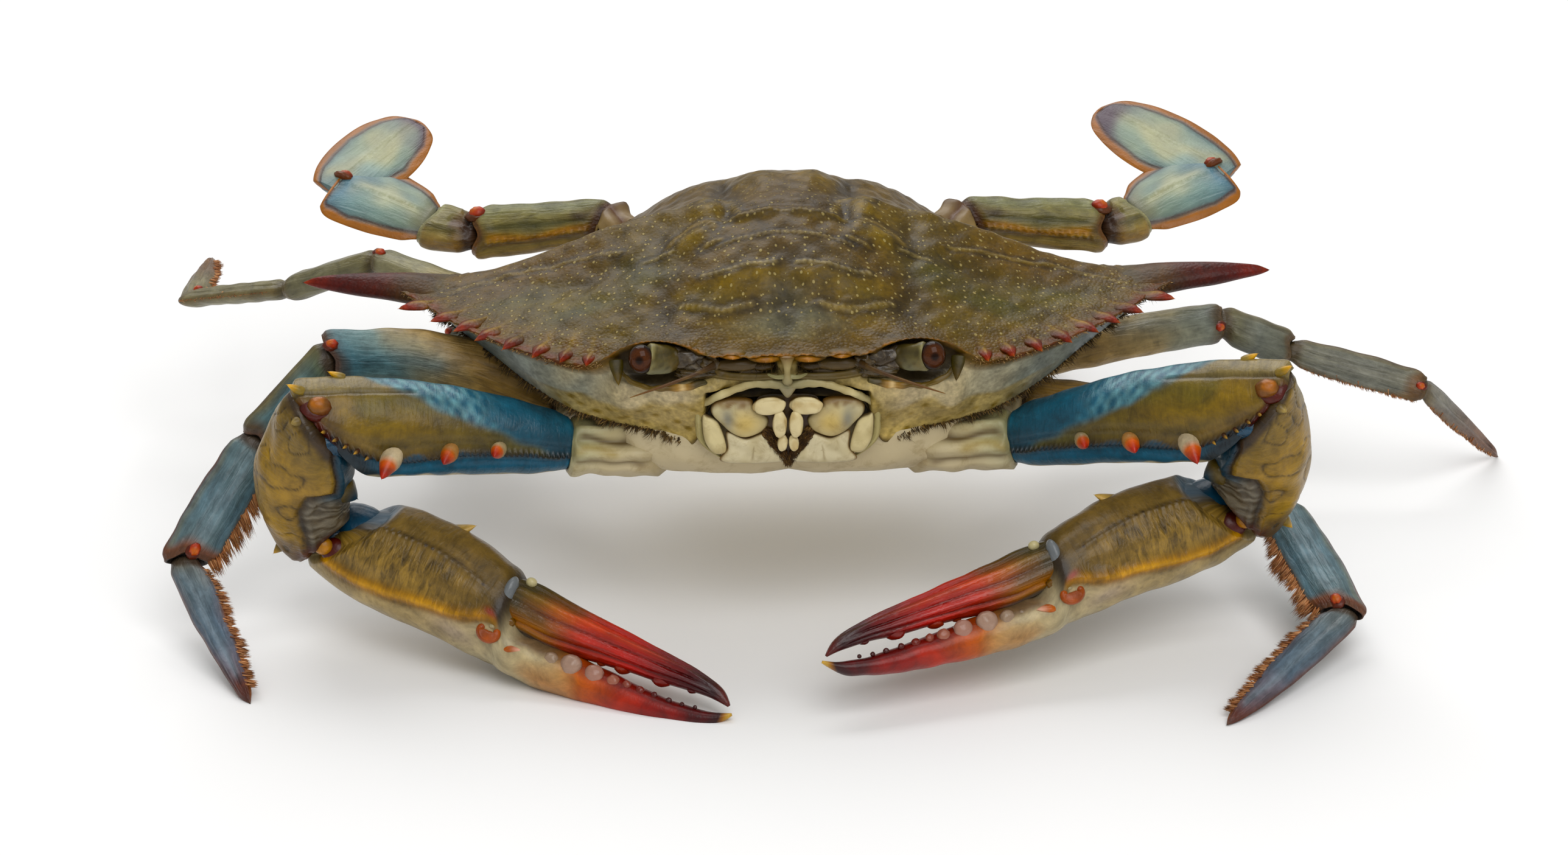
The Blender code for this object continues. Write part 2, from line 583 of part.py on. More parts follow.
def segment(joints, index, sections, face, overrun, bend=(0, 0, 0), **shape):
    """The stretch of a limb between two joints, cut at both joint planes with half a gap each."""
    bm = limb(segment_path(joints, index, overrun, bend), sections, face, **shape)
    normal = joint_normal(joints, index)
    trim(bm, Vector(joints[index]) + normal * HALF_GAP, -normal)
    if index + 1 < len(joints) - 1:
        normal = joint_normal(joints, index + 1)
        trim(bm, Vector(joints[index + 1]) - normal * HALF_GAP, normal)
    return bm


def above_floor(bm):
    """Cuts a foot or claw flat where it meets the floor."""
    if min(vert.co.z for vert in bm.verts) < 0:
        trim(bm, (0, 0, 0), (0, 0, -1))


def scaled(sections, scale):
    """Sections with their half sizes scaled."""
    return [(row[0], *(value * scale for value in row[1:])) for row in sections]


def build_legs(group):
    """Six walking legs; the coxae are given back, to be joined to the thorax."""
    coxae = []
    names = ("merus", "carpus", "propodus", "dactyl")
    shapes = (MERUS_SECTIONS, CARPUS_SECTIONS, PROPODUS_SECTIONS, DACTYL_SECTIONS)
    for (leg, side), joints in LEG_JOINTS.items():
        face = LEG_FACES[leg, side]
        coxae.append(segment(joints, 0, scaled(COXA_SECTIONS, COXA_SCALE[leg]), face, 2.0))
        for index, (name, sections, scale) in enumerate(zip(names, shapes, LEG_SCALE[leg]), start=1):
            bend = MERUS_ARCH.get((leg, side), (0, 0, 0)) if index == 1 else (0, 0, 0)
            bm = segment(joints, index, scaled(sections, scale), face, 3.0, bend)
            above_floor(bm)
            stretch = make_object(f"{leg}_{SIDE_NAMES[side]}_{name}", bm, "leg_shell", group)
            if leg == FRINGED_LEG and name == "propodus":
                path = segment_path(joints, index, 3.0)
                locks = limb_fringe(path, scaled(sections, scale), face, side, FRINGE)
                combine(stretch, locks, "UNION")
    return coxae


def build_paddles(group):
    """The two swimming legs at the rear; their roots are given back, to be joined to the thorax."""
    roots = []
    for side, joints in PADDLE_JOINTS.items():
        prefix = f"paddle_{SIDE_NAMES[side]}"
        roots.append(segment(joints, 0, PADDLE_ROOT_SECTIONS, PADDLE_FACE, 1.0))
        merus = segment(joints, 1, PADDLE_MERUS_SECTIONS, (0, -1, 0.4), 2.0)
        make_object(f"{prefix}_merus", merus, "leg_shell", group)
        carpus = segment(joints, 2, PADDLE_CARPUS_SECTIONS, PADDLE_FACE, 2.0)
        make_object(f"{prefix}_carpus", carpus, "leg_shell", group)
        blade_joints = joints[:5]
        blade = segment(blade_joints, 3, PADDLE_PROPODUS_SECTIONS, PADDLE_FACE, 2.0, sides=12, edge=1.5)
        propodus = make_object(f"{prefix}_propodus", blade, "paddle_shell", group)
        tip_path = [joints[4], tuple((Vector(joints[4]) + Vector(joints[5])) / 2), joints[5]]
        tip = limb(tip_path, PADDLE_DACTYL_SECTIONS, PADDLE_FACE, sides=12, rings=10, edge=1.5)
        dactyl = make_object(f"{prefix}_dactyl", tip, "paddle_shell", group)
        combine(dactyl, [grown(propodus)], "DIFFERENCE")
    return roots


def hand_limb(wrist, tip, stations, gape, height):
    """Path and sections of a palm or finger along the line from the wrist to the finger tips."""
    wrist, tip = Vector(wrist), Vector(tip)
    along = (tip - wrist).normalized()
    scale = (tip - wrist).length / HAND_LENGTH
    first, last = stations[0][0], stations[-1][0]
    path = [tuple(wrist + along * first * scale), tuple(wrist + along * last * scale)]
    sections = []
    for distance, half_height, half_thick, lift in stations:
        place = (distance - first) / (last - first)
        lift += gape * max(0.0, distance - KNUCKLE) / (HAND_LENGTH - KNUCKLE)
        sections.append((place, half_height * height, half_thick, lift))
    return path, sections


def molars(path, sections):
    """Blunt teeth along the upper edge of the fixed finger."""
    teeth = []
    first, last = PALM_STATIONS[0][0], PALM_STATIONS[-1][0]
    up = upward(path, HAND_FACE)
    for distance in MOLARS:
        place = (distance - first) / (last - first)
        centre, broad, thin = limb_frame(path, HAND_FACE, place)
        half_height, half_thick, lift = read_sections(sections, place)
        height = lift + half_height - MOLAR_RADIUS * MOLAR_SINK
        middle = centre + broad * up * height + thin * half_thick * 0.2
        teeth.append(ball(middle, [MOLAR_RADIUS] * 3, 6, 4))
    return teeth


def build_hand(prefix, joints, gape, height, group):
    """The palm with its fixed finger, and the moving finger."""
    path, sections = hand_limb(joints[3], joints[4], PALM_STATIONS, 0.0, height)
    palm = limb(path, sections, HAND_FACE, sides=12, rings=16)
    normal = joint_normal(joints, 3)
    trim(palm, Vector(joints[3]) + normal * HALF_GAP, -normal)
    above_floor(palm)
    palm_object = make_object(f"{prefix}_palm", palm, "claw_shell", group)
    additions = molars(path, sections) + limb_spines(path, sections, HAND_FACE, PALM_SPINES)
    combine(palm_object, additions, "UNION")
    path, sections = hand_limb(joints[3], joints[4], FINGER_STATIONS, gape, height)
    finger = limb(path, sections, HAND_FACE, sides=10, rings=10)
    above_floor(finger)
    finger_object = make_object(f"{prefix}_finger", finger, "red_tip", group)
    combine(palm_object, [grown(finger_object)], "DIFFERENCE")


def build_claws(group, thorax):
    """Base, merus, carpus, palm with the fixed finger, and the moving finger, of both claws."""
    for side, joints in CLAW_JOINTS.items():
        prefix = f"claw_{SIDE_NAMES[side]}"
        base = segment(joints, 0, CLAW_BASE_SECTIONS, ARM_FACE, 0.0)
        base_object = make_object(f"{prefix}_base", base, "pale_shell", group)
        combine(thorax, [grown(base_object)], "DIFFERENCE")
        merus = segment(joints, 1, CLAW_MERUS_SECTIONS, ARM_FACE, 9.0)
        merus_object = make_object(f"{prefix}_merus", merus, "claw_shell", group)
        path = segment_path(joints, 1, 9.0)
        combine(merus_object, limb_spines(path, CLAW_MERUS_SECTIONS, ARM_FACE, CLAW_MERUS_SPINES), "UNION")
        bend = (CARPUS_BULGE[side], 0, 0)
        sections = [(*row[:3], row[3] * side) for row in CLAW_CARPUS_SECTIONS]
        carpus = segment(joints, 2, sections, ARM_FACE, 8.0, bend)
        carpus_object = make_object(f"{prefix}_carpus", carpus, "claw_shell", group)
        path = segment_path(joints, 2, 8.0, bend)
        combine(carpus_object, limb_spines(path, sections, ARM_FACE, CLAW_CARPUS_SPINES), "UNION")
        build_hand(prefix, joints, CLAW_GAPE[side], HAND_HEIGHT[side], group)


def build_body(group, carapace, coxae):
    """The thorax with the leg coxae joined to it, and the folded apron under it."""
    combine(carapace, [swollen(coxa) for coxa in coxae], "DIFFERENCE")
    thorax_mesh = ball(THORAX_MIDDLE, THORAX_HALF, 24, 10, THORAX_BOX)
    thorax = make_object("thorax", thorax_mesh, "pale_shell", group)
    apron = limb(ABDOMEN_PATH, ABDOMEN_SECTIONS, (0, 0, -1), 14, 14)
    abdomen = make_object("abdomen", apron, "pale_shell", group)
    mouths = [grown(bpy.data.objects[f"maxilliped_{name}"]) for name in SIDE_NAMES.values()]
    combine(thorax, [grown(carapace), grown(abdomen)] + mouths, "DIFFERENCE")
    combine(thorax, coxae, "UNION")
    return thorax


def settle(group):
    """Hangs the parts on one empty, set so that the whole stands over the middle of its own footprint."""
    lows, highs = [], []
    for thing in group.objects:
        corners = [vert.co for vert in thing.data.vertices]
        lows.append([min(corner[axis] for corner in corners) for axis in range(3)])
        highs.append([max(corner[axis] for corner in corners) for axis in range(3)])
    low = [min(values) for values in zip(*lows)]
    high = [max(values) for values in zip(*highs)]
    stance = bpy.data.objects.new("stance", None)
    bpy.context.scene.collection.objects.link(stance)
    stance.location = (-(low[0] + high[0]) / 2, -(low[1] + high[1]) / 2, -low[2])
    for thing in group.objects:
        thing.parent = stance


def main():
    clear_scene()
    group = bpy.data.collections.new("blue_crab")
    bpy.context.scene.collection.children.link(group)
    carapace = build_carapace(group)
    build_head(group, carapace)
    coxae = build_legs(group) + build_paddles(group)
    thorax = build_body(group, carapace, coxae)
    build_claws(group, thorax)
    settle(group)


main()
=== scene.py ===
"""Looks of a life-size blue crab, an adult female, standing with its claws spread.

Sizes are in millimetres in the crab's own frame: it faces -Y, its right side is at -X and the floor is
z = 0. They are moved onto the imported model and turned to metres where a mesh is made. Every shell is a
closed net that is bent over the same named sizes as the solids, finer and with its folds, ridges,
colours and joints. The colours of each point are kept with the mesh and the materials read them.
"""

from types import SimpleNamespace

import bmesh
import bpy
import numpy as np
from mathutils import Matrix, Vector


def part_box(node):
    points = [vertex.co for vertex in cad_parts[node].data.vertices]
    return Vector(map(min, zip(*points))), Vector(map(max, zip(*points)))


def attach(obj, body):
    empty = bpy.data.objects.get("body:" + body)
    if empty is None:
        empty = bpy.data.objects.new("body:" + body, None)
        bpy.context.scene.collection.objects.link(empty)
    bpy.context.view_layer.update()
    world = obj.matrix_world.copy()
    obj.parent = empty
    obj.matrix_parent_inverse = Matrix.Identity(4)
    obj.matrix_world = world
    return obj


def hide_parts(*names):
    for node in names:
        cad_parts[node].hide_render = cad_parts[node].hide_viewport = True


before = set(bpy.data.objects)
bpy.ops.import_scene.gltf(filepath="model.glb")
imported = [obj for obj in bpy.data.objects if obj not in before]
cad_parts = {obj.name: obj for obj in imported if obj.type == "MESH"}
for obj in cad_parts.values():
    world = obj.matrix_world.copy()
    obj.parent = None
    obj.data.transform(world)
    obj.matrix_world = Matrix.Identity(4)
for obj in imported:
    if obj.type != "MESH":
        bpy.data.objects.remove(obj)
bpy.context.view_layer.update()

MM = 0.001
# Distance between the beads of a granular line on the back, and between neighbouring parts at a joint
BEAD_SPACING = 1.05
GAP = 0.3
# Share of the full count of columns and rows that a net is made with
FINE = 1
RIGHT, LEFT = -1, 1
SIDE_NAMES = {RIGHT: "right", LEFT: "left"}
CARAPACE_REAR = 35.8

low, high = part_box("carapace")
STANCE = np.array([(low.x + high.x) / 2 / MM, high.y / MM - CARAPACE_REAR, 0])

# Sizes of the shield, as in the solids
DOME_HEIGHT = 64.5
CARAPACE_CENTRE_Y = 2
CEILING_HEIGHT = 40.5
RIM_INSET = 0.965
RIM_DROP = 1.3
DOME_POWER = 1.9
CARAPACE_EDGE = [
    ((0, -34.3, 50.6), (0, -31, 42.2), 1.15, 49.6),
    ((5.5, -34.8, 50.1), (5.5, -31, 42.2), 1.15, 49.6),
    ((11.5, -34.2, 50.2), (12, -30.5, 41), 1.2, 49.6),
    ((16.5, -32.9, 52), (14.6, -29, 34), 1.25, 49.6),
    ((21.5, -32, 52.4), (16.6, -28.2, 32.8), 1.35, 49.5),
    ((26, -31.4, 51.2), (20.5, -27.4, 34.2), 1.45, 49.3),
    ((32, -31.2, 48.2), (26, -26.2, 35.2), 1.6, 49),
    ((40, -28, 48.5), (34, -23.8, 36.6), 1.8, 48.8),
    ((48, -22, 49), (41.5, -20, 39.8), 2.1, 49),
    ((55, -14.5, 49.3), (47.5, -14.5, 42.6), 2.4, 49.3),
    ((61, -6.5, 49.7), (54, -8, 45), 2.6, 49.7),
    ((66.5, 0.5, 50), (60, -1.5, 47.3), 2.6, 49.9),
    ((62, 4.5, 49.4), (57, 1, 46.8), 2.5, 49.4),
    ((53, 9.5, 47.8), (49, 6, 44.2), 2.2, 48),
    ((44, 17, 46.3), (40, 13, 42.6), 1.8, 46.6),
    ((36, 25.5, 45.6), (33, 21.5, 42), 1.4, 45.8),
    ((30.5, 32, 46.4), (28, 28.5, 43), 1.15, 46),
    ((24, 34.9, 48), (22.5, 32, 44), 1, 47.4),
    ((12, 35.7, 50), (11.5, 33, 45.5), 0.92, 49.2),
    ((0, 35.8, 50.8), (0, 33.2, 46), 0.9, 50),
]
LOBES = [
    ((0, -9), (9, 8), 1), ((0, 16), (7, 7), 1), ((11, -18), (6, 6), 0.7), ((26, 2), (11, 9), 1),
    ((17, 24), (8, 7), 0.8), ((9.5, 6), (3, 9), -0.9), ((18, -8), (3.5, 9), -0.6),
]
# Finer swellings and furrows of the back that only show close by
FOLDS = [
    ((12.5, -1), (3.2, 4.2), 1.15), ((15.5, -8.6), (4.6, 2.2), 1), ((6, -6.6), (6.5, 0.9), 0.6),
    ((9.8, -3), (1.4, 4), -0.9), ((0, -3.2), (7.5, 1.2), -0.5), ((20.5, -4), (2, 5), -0.6),
    ((5, 12), (3.6, 5), 0.7), ((10.8, 13), (1.5, 6), -0.7), ((6.5, -19.5), (7, 2.2), 0.55),
    ((0, -25), (2, 6), -0.5), ((19.5, -22), (2.5, 6), -0.6), ((30, -9.5), (9, 2.4), -0.6),
    ((38, 6), (10, 4), 0.6), ((26, 9), (2, 7), -0.5),
]
# Raised granular lines of the back: points of the line, height, half width, colour
RAISED_LINES = [
    ([(1.7, -17.7), (4.2, -18.1), (6.7, -18.3), (9.2, -18.7), (11.1, -18.9), (13.5, -18.4)], 0.35, 0.3,
        "#a2987a"),
    ([(0, -11.2), (2.7, -11.8), (5.8, -12.1), (8.1, -12.2), (11, -12.8)], 0.2, 0.25, "#8e8262"),
    ([(0, -6.2), (3, -6.2), (6, -6.1), (8, -6.4), (10.2, -7.2)], 0.25, 0.3, "#7c7052"),
    ([(10.5, -11.4), (12, -11.7), (13.4, -12.2)], 0.2, 0.35, "#988a66"),
    ([(11.6, -8), (13, -5.7), (15, -5.3), (17.5, -6.3), (19.2, -8.6)], 0.2, 0.45, "#7f7258"),
    ([(7.9, -3.6), (8.9, 0.6), (11.5, 2.9), (13.5, 1.6), (14, 0.6)], 0.15, 0.45, "#7c6e4a"),
    ([(27.2, -5.9), (30, -4.6), (33, -3.9), (36, -3.2), (39.5, -2.9), (43, -1.8), (46.5, -1.9), (50.5, -2.4),
        (53.5, -3.1), (56.5, -4.5)], 0.25, 0.3, "#94896a"),
    ([(18.6, -10), (20.3, -10), (23.7, -10.3)], 0.2, 0.3, "#94896a"),
    ([(5.6, -24.7), (7.5, -25.1), (10.2, -25.4), (12.4, -24.9), (14.5, -24), (16.9, -22.9)], 0.25, 0.4,
        "#8c8060"),
]

# Edge teeth of each side: root, tip, half width of the root. The first is the flap beside the eye
EDGE_TEETH = [
    ((27.3, -31.4, 49), (26.9, -33.9, 45.8), 1),
    ((31.6, -29, 48.5), (32.1, -32.2, 48.4), 1.1),
    ((35.3, -27.6, 48.6), (36.3, -31, 48.6), 1.2),
    ((39.4, -25.6, 48.8), (40.8, -29.1, 48.7), 1.3),
    ((43.8, -22.6, 48.9), (45.8, -26, 48.8), 1.4),
    ((47.8, -19.2, 49), (50.3, -22.4, 49), 1.5),
    ((51.2, -16, 49.2), (54, -19, 49.2), 1.6),
    ((55, -12.6, 49.3), (58, -15.2, 49.4), 1.7),
    ((60, -8.2, 49.5), (63.5, -10, 49.6), 1.9),
]
FRONT_TEETH = [((3.4, -32.8, 50), (3.4, -35.6, 50.2), 2.6), ((8.7, -32.2, 50.4), (8.6, -35.3, 50.6), 2.2)]
SPINE_ROOT = (50, 0.6, 47.6)
SPINE_TIP = (80, 1, 50)
ORBIT_MIDDLE = (20.6, -35.2, 48.6)
ORBIT_REACH = (6.9, 4.8, 4)
EYE_MIDDLE = (23.15, -33.9, 50.2)


def linear(code):
    """A web colour as the linear red, green and blue that the shaders work in."""
    values = np.array([int(code[start:start + 2], 16) for start in (1, 3, 5)]) / 255
    return np.where(values <= 0.04045, values / 12.92, ((values + 0.055) / 1.055) ** 2.4)


def per_mm(size):
    """Scale of a pattern on object coordinates whose features are so many millimetres apart."""
    return 1 / (size * MM)


def add(tree, kind, inputs=None, **settings):
    """Adds a node with its settings. An input is a value, an output, or a node for its first output."""
    made = tree.nodes.new("ShaderNode" + kind)
    for name, value in settings.items():
        setattr(made, name, value)
    for name, value in (inputs or {}).items():
        if isinstance(value, bpy.types.Node):
            value = value.outputs[0]
        if isinstance(value, bpy.types.NodeSocket):
            tree.links.new(value, made.inputs[name])
        else:
            made.inputs[name].default_value = value
    return made


def start_material(name, roughness, coat=0, coat_roughness=0.2, specular=0.3):
    """A new material with its shader's own values set."""
    material = bpy.data.materials.new(name)
    material.use_nodes = True
    tree = material.node_tree
    shader = tree.nodes["Principled BSDF"]
    for socket, value in {"Roughness": roughness, "Coat Weight": coat, "Coat Roughness": coat_roughness,
            "Specular IOR Level": specular}.items():
        shader.inputs[socket].default_value = value
    return material, tree, shader


def dress(tree, shader, **looks):
    """Links the nodes that give the shader its base colour, normal and roughness."""
    for socket, node in looks.items():
        tree.links.new(node.outputs[0], shader.inputs[socket.replace("_", " ")])


def carapace_chitin():
    """Hard satin cuticle of the back: cloudy olive and brown, sprinkled with pale raised granules."""
    material, tree, shader = start_material("carapace chitin", 0.42, 0.05, 0.3, 0.2)
    place = add(tree, "TexCoord").outputs["Object"]
    paint = add(tree, "Attribute", attribute_name="paint")
    marks = add(tree, "Attribute", attribute_name="marks")
    parts = add(tree, "SeparateColor", {"Color": marks})
    clouds = add(tree, "TexNoise", {"Vector": place, "Scale": per_mm(5), "Detail": 7, "Roughness": 0.66,
        "Distortion": 0.5})
    specks = add(tree, "TexNoise", {"Vector": place, "Scale": per_mm(0.7), "Detail": 3})
    cloud_light = add(tree, "MapRange", {"Value": clouds, "From Min": 0.3, "From Max": 0.7, "To Min": 0.5,
        "To Max": 1.5})
    speck_light = add(tree, "MapRange", {"Value": specks, "From Min": 0.25, "From Max": 0.75, "To Min": 0.75,
        "To Max": 1.25})
    light = add(tree, "Math", {0: cloud_light, 1: speck_light}, operation="MULTIPLY")
    base = add(tree, "VectorMath", {0: paint, "Scale": light}, operation="SCALE")
    # The granules lie on the back, so their cells are measured in plan
    granules = add(tree, "TexVoronoi", {"Vector": place, "Scale": per_mm(1.45), "Randomness": 0.85},
        voronoi_dimensions="2D")
    size = add(tree, "Math", {0: granules.outputs["Color"], 1: 0.19, 2: -0.02}, operation="MULTIPLY_ADD")
    rim = add(tree, "Math", {0: size, 1: 0.07})
    shape = add(tree, "MapRange", {"Value": granules, "From Min": size, "From Max": rim, "To Min": 1,
        "To Max": 0})
    dots = add(tree, "Math", {0: shape, 1: parts.outputs["Red"]}, operation="MULTIPLY")
    dotted = add(tree, "Mix", {0: dots, 6: base, 7: (*linear("#aca07a"), 1)}, data_type="RGBA")
    deep = add(tree, "HueSaturation", {"Color": dotted.outputs[2], "Hue": 0.495, "Saturation": 1.4,
        "Value": 0.8})
    fine = add(tree, "TexVoronoi", {"Vector": place, "Scale": per_mm(0.55)})
    rough_height = add(tree, "Math", {0: fine, 1: parts.outputs["Green"]}, operation="MULTIPLY")
    height = add(tree, "Math", {0: dots, 1: rough_height}, operation="SUBTRACT")
    bump = add(tree, "Bump", {"Height": height, "Strength": 0.8, "Distance": 0.18 * MM})
    pores = add(tree, "Bump", {"Height": specks, "Strength": 0.6, "Distance": 0.1 * MM, "Normal": bump})
    polish = add(tree, "MapRange", {"Value": clouds, "To Min": 0.5, "To Max": 0.32})
    dress(tree, shader, Base_Color=deep, Normal=pores, Roughness=polish)
    return material


def limb_chitin(name, roughness, coat, streak, streak_depth, cloud, cloud_depth):
    """Cuticle of a limb. Its streaks follow the limb: streak is their length along and width around it, and
    cloud the size of its paler and darker patches, with how strongly each changes the colour."""
    material, tree, shader = start_material(name, roughness, coat, 0.2, 0.3)
    lie = add(tree, "Attribute", attribute_name="lie").outputs["Vector"]
    paint = add(tree, "Attribute", attribute_name="paint")
    marks = add(tree, "Attribute", attribute_name="marks")
    parts = add(tree, "SeparateColor", {"Color": marks})
    stretch = add(tree, "Mapping", {"Vector": lie, "Scale": (1 / streak[0], 1 / streak[1], 1 / streak[1])})
    streaks = add(tree, "TexNoise", {"Vector": stretch, "Scale": 1, "Detail": 3, "Distortion": 0.9})
    clouds = add(tree, "TexNoise", {"Vector": lie, "Scale": 1 / cloud, "Detail": 6, "Roughness": 0.66,
        "Distortion": 0.4})
    streak_light = add(tree, "MapRange", {"Value": streaks, "From Min": 0.35, "From Max": 0.68,
        "To Min": -streak_depth, "To Max": streak_depth})
    streak_share = add(tree, "Math", {0: streak_light, 1: parts.outputs["Green"]}, operation="MULTIPLY")
    cloud_light = add(tree, "MapRange", {"Value": clouds, "From Min": 0.3, "From Max": 0.7,
        "To Min": 1 - cloud_depth, "To Max": 1 + cloud_depth})
    light = add(tree, "Math", {0: cloud_light, 1: streak_share}, operation="ADD")
    base = add(tree, "VectorMath", {0: paint, "Scale": light}, operation="SCALE")
    grit = add(tree, "TexVoronoi", {"Vector": lie, "Scale": 1 / 1.1})
    grit_shape = add(tree, "MapRange", {"Value": grit, "From Min": 0.12, "From Max": 0.34, "To Min": 1,
        "To Max": 0})
    grit_share = add(tree, "Math", {0: grit_shape, 1: parts.outputs["Red"]}, operation="MULTIPLY")
    speckled = add(tree, "Mix", {0: grit_share, 6: base, 7: (*linear("#22150c"), 1)}, data_type="RGBA")
    deep = add(tree, "HueSaturation", {"Color": speckled.outputs[2], "Hue": 0.5, "Saturation": 1.14,
        "Value": 0.92})
    skin = add(tree, "TexNoise", {"Vector": lie, "Scale": 1 / 0.45, "Detail": 2})
    relief = add(tree, "Math", {0: streaks, 1: parts.outputs["Green"]}, operation="MULTIPLY")
    bump = add(tree, "Bump", {"Height": relief, "Strength": 0.8, "Distance": 0.45 * MM})
    pores = add(tree, "Bump", {"Height": skin, "Strength": 0.5, "Distance": 0.12 * MM, "Normal": bump})
    polish = add(tree, "MapRange", {"Value": clouds, "To Min": roughness + 0.1, "To Max": roughness - 0.06})
    dress(tree, shader, Base_Color=deep, Normal=pores, Roughness=polish)
    return material


def calcified_shell():
    """Smooth, chalky underside shell: cream, stained with yellow in its hollows, barely glossy."""
    material, tree, shader = start_material("calcified shell", 0.42, 0.08, 0.3, 0.3)
    place = add(tree, "TexCoord").outputs["Object"]
    paint = add(tree, "Attribute", attribute_name="paint")
    stains = add(tree, "TexNoise", {"Vector": place, "Scale": per_mm(3.5), "Detail": 7, "Roughness": 0.7,
        "Distortion": 0.6})
    amount = add(tree, "MapRange", {"Value": stains, "From Min": 0.5, "From Max": 0.72, "To Min": 0,
        "To Max": 0.5})
    stained = add(tree, "Mix", {0: amount, 6: paint, 7: (*linear("#7d6430"), 1)}, data_type="RGBA")
    deep = add(tree, "HueSaturation", {"Color": stained.outputs[2], "Saturation": 1.1, "Value": 1})
    grain = add(tree, "TexNoise", {"Vector": place, "Scale": per_mm(0.9), "Detail": 4})
    bump = add(tree, "Bump", {"Height": grain, "Strength": 0.5, "Distance": 0.15 * MM})
    dress(tree, shader, Base_Color=deep, Normal=bump)
    return material


def soft_finish(name, gloss, kind, size, pattern, light, depth=0):
    """A finish whose paint one texture lightens and darkens, and raises by a depth in millimetres. Gloss is
    the roughness, coat, coat roughness and specular, size the texture's and light its range from and to."""
    material, tree, shader = start_material(name, *gloss)
    place = add(tree, "TexCoord").outputs["Object"]
    paint = add(tree, "Attribute", attribute_name="paint")
    texture = add(tree, kind, {"Vector": place, "Scale": per_mm(size), **pattern})
    limits = dict(zip(("From Min", "From Max", "To Min", "To Max"), light))
    shade = add(tree, "MapRange", {"Value": texture, **limits})
    base = add(tree, "VectorMath", {0: paint, "Scale": shade}, operation="SCALE")
    dress(tree, shader, Base_Color=base)
    if depth:
        dress(tree, shader,
            Normal=add(tree, "Bump", {"Height": texture, "Strength": 1, "Distance": depth * MM}))
    return material


def make_finishes():
    """Every finish of the crab, by the name that the pieces use."""
    return {
        "back": carapace_chitin(),
        "under": calcified_shell(),
        # Claw cuticle is hard and satin, with short wavy wrinkles that run round the hand
        "claw": limb_chitin("claw chitin", 0.36, 0.12, (0.7, 3), 0.3, 3.4, 0.42),
        # The fingers are worn smooth and glossy, like enamel, with long fine streaks
        "finger": limb_chitin("finger enamel", 0.28, 0.3, (16, 0.9), 0.25, 7, 0.2),
        # Walking legs are thin satin shell, streaked along their length
        "leg": limb_chitin("leg chitin", 0.38, 0.1, (5, 0.8), 0.16, 2.6, 0.34),
        # Paddles are thin and half clear, with faint veins from the root to the rim
        "paddle": limb_chitin("paddle chitin", 0.36, 0.12, (9, 1.4), 0.1, 6, 0.22),
        # Soft cuticle between the hard shells: dark, finely wrinkled and wet
        "membrane": soft_finish("wet membrane", (0.24, 0.3, 0.08), "TexNoise", 1.8,
                                {"Detail": 4, "Distortion": 1.6}, (0.32, 0.7, 0.6, 1.6), 0.4),
        # Clear, glassy outer skin of the eye over dark red-brown facets
        "cornea": soft_finish("cornea", (0.1, 0.07, 0.04, 0.12), "TexVoronoi", 0.22, {},
                              (0, 1, 1.2, 0.7)),
        # Stiff chitin bristles: thin and dull, each a little lighter or darker than the next
        "setae": soft_finish("setae", (0.6,), "TexNoise", 1.5, {"Detail": 2}, (0.3, 0.7, 0.7, 1.3)),
    }


FINISHES = make_finishes()
NETS = {}


def faces_of(bm):
    """Points, triangles and quads of a bmesh, which is freed."""
    bm.verts.index_update()
    points = np.array([vert.co[:] for vert in bm.verts])
    corners = [[vert.index for vert in face.verts] for face in bm.faces]
    bm.free()
    return points, *(np.array([face for face in corners if len(face) == count]) for count in (3, 4))


def net(columns, rows):
    """A closed net of rings between two poles, with the column, ring and angle of each point."""
    if (columns, rows) not in NETS:
        bm = bmesh.new()
        bmesh.ops.create_uvsphere(bm, u_segments=columns, v_segments=rows + 1, radius=1)
        points, tris, quads = faces_of(bm)
        ring = np.rint(np.arccos(np.clip(points[:, 2], -1, 1)) / np.pi * (rows + 1)).astype(int)
        turn = np.arctan2(points[:, 1], points[:, 0])
        NETS[columns, rows] = tris, quads, np.rint(turn / (2 * np.pi) * columns).astype(int) % columns, ring
    tris, quads, column, ring = NETS[columns, rows]
    angle = column * 2 * np.pi / columns
    return SimpleNamespace(tris=tris, quads=quads, column=column, ring=ring, angle=angle, rows=rows)


def fine(count):
    return max(6, int(count * FINE))


def unit(vectors):
    """Vectors of length one."""
    return vectors / np.maximum(np.linalg.norm(vectors, axis=-1, keepdims=True), 1e-9)


def smooth(value, start, end):
    """Rises gently from 0 at the start to 1 at the end."""
    t = np.clip((value - start) / (end - start), 0, 1)
    return t * t * (3 - 2 * t)


def fall(value, start, end):
    """Falls gently from 1 at the start to 0 at the end."""
    return 1 - smooth(value, start, end)


def window(value, start, end, soft=0.06):
    """1 between the start and the end, falling gently to 0 outside them."""
    return smooth(value, start - soft, start + soft) * fall(value, end - soft, end + soft)


def bell(value, middle, width):
    """1 at the middle, falling smoothly to about a third at the width."""
    return np.exp(-((value - middle) / width) ** 2)


def turn_from(degrees, middle):
    """Degrees round a limb from one angle to another, -180 to 180."""
    return (degrees - middle + 180) % 360 - 180


def round_bell(degrees, middle, width):
    """A bell round a limb, where 360 degrees meets 0."""
    return bell(turn_from(degrees, middle), 0, width)


def beads_along(distance, spacing):
    """A wave along a granular line, from -1 between two beads to 1 on a bead."""
    return np.sin(distance * 2 * np.pi / spacing)


def waves(points, size, seed):
    """Smooth random unevenness, about -1 to 1, with features of about the size given."""
    draw = np.random.default_rng(seed)
    total = np.zeros(len(points))
    for _ in range(8):
        way = unit(draw.normal(size=3)) * 2 * np.pi / size * draw.uniform(0.6, 1.7)
        total += np.sin(points @ way + draw.uniform(0, 2 * np.pi))
    return total / 3.2


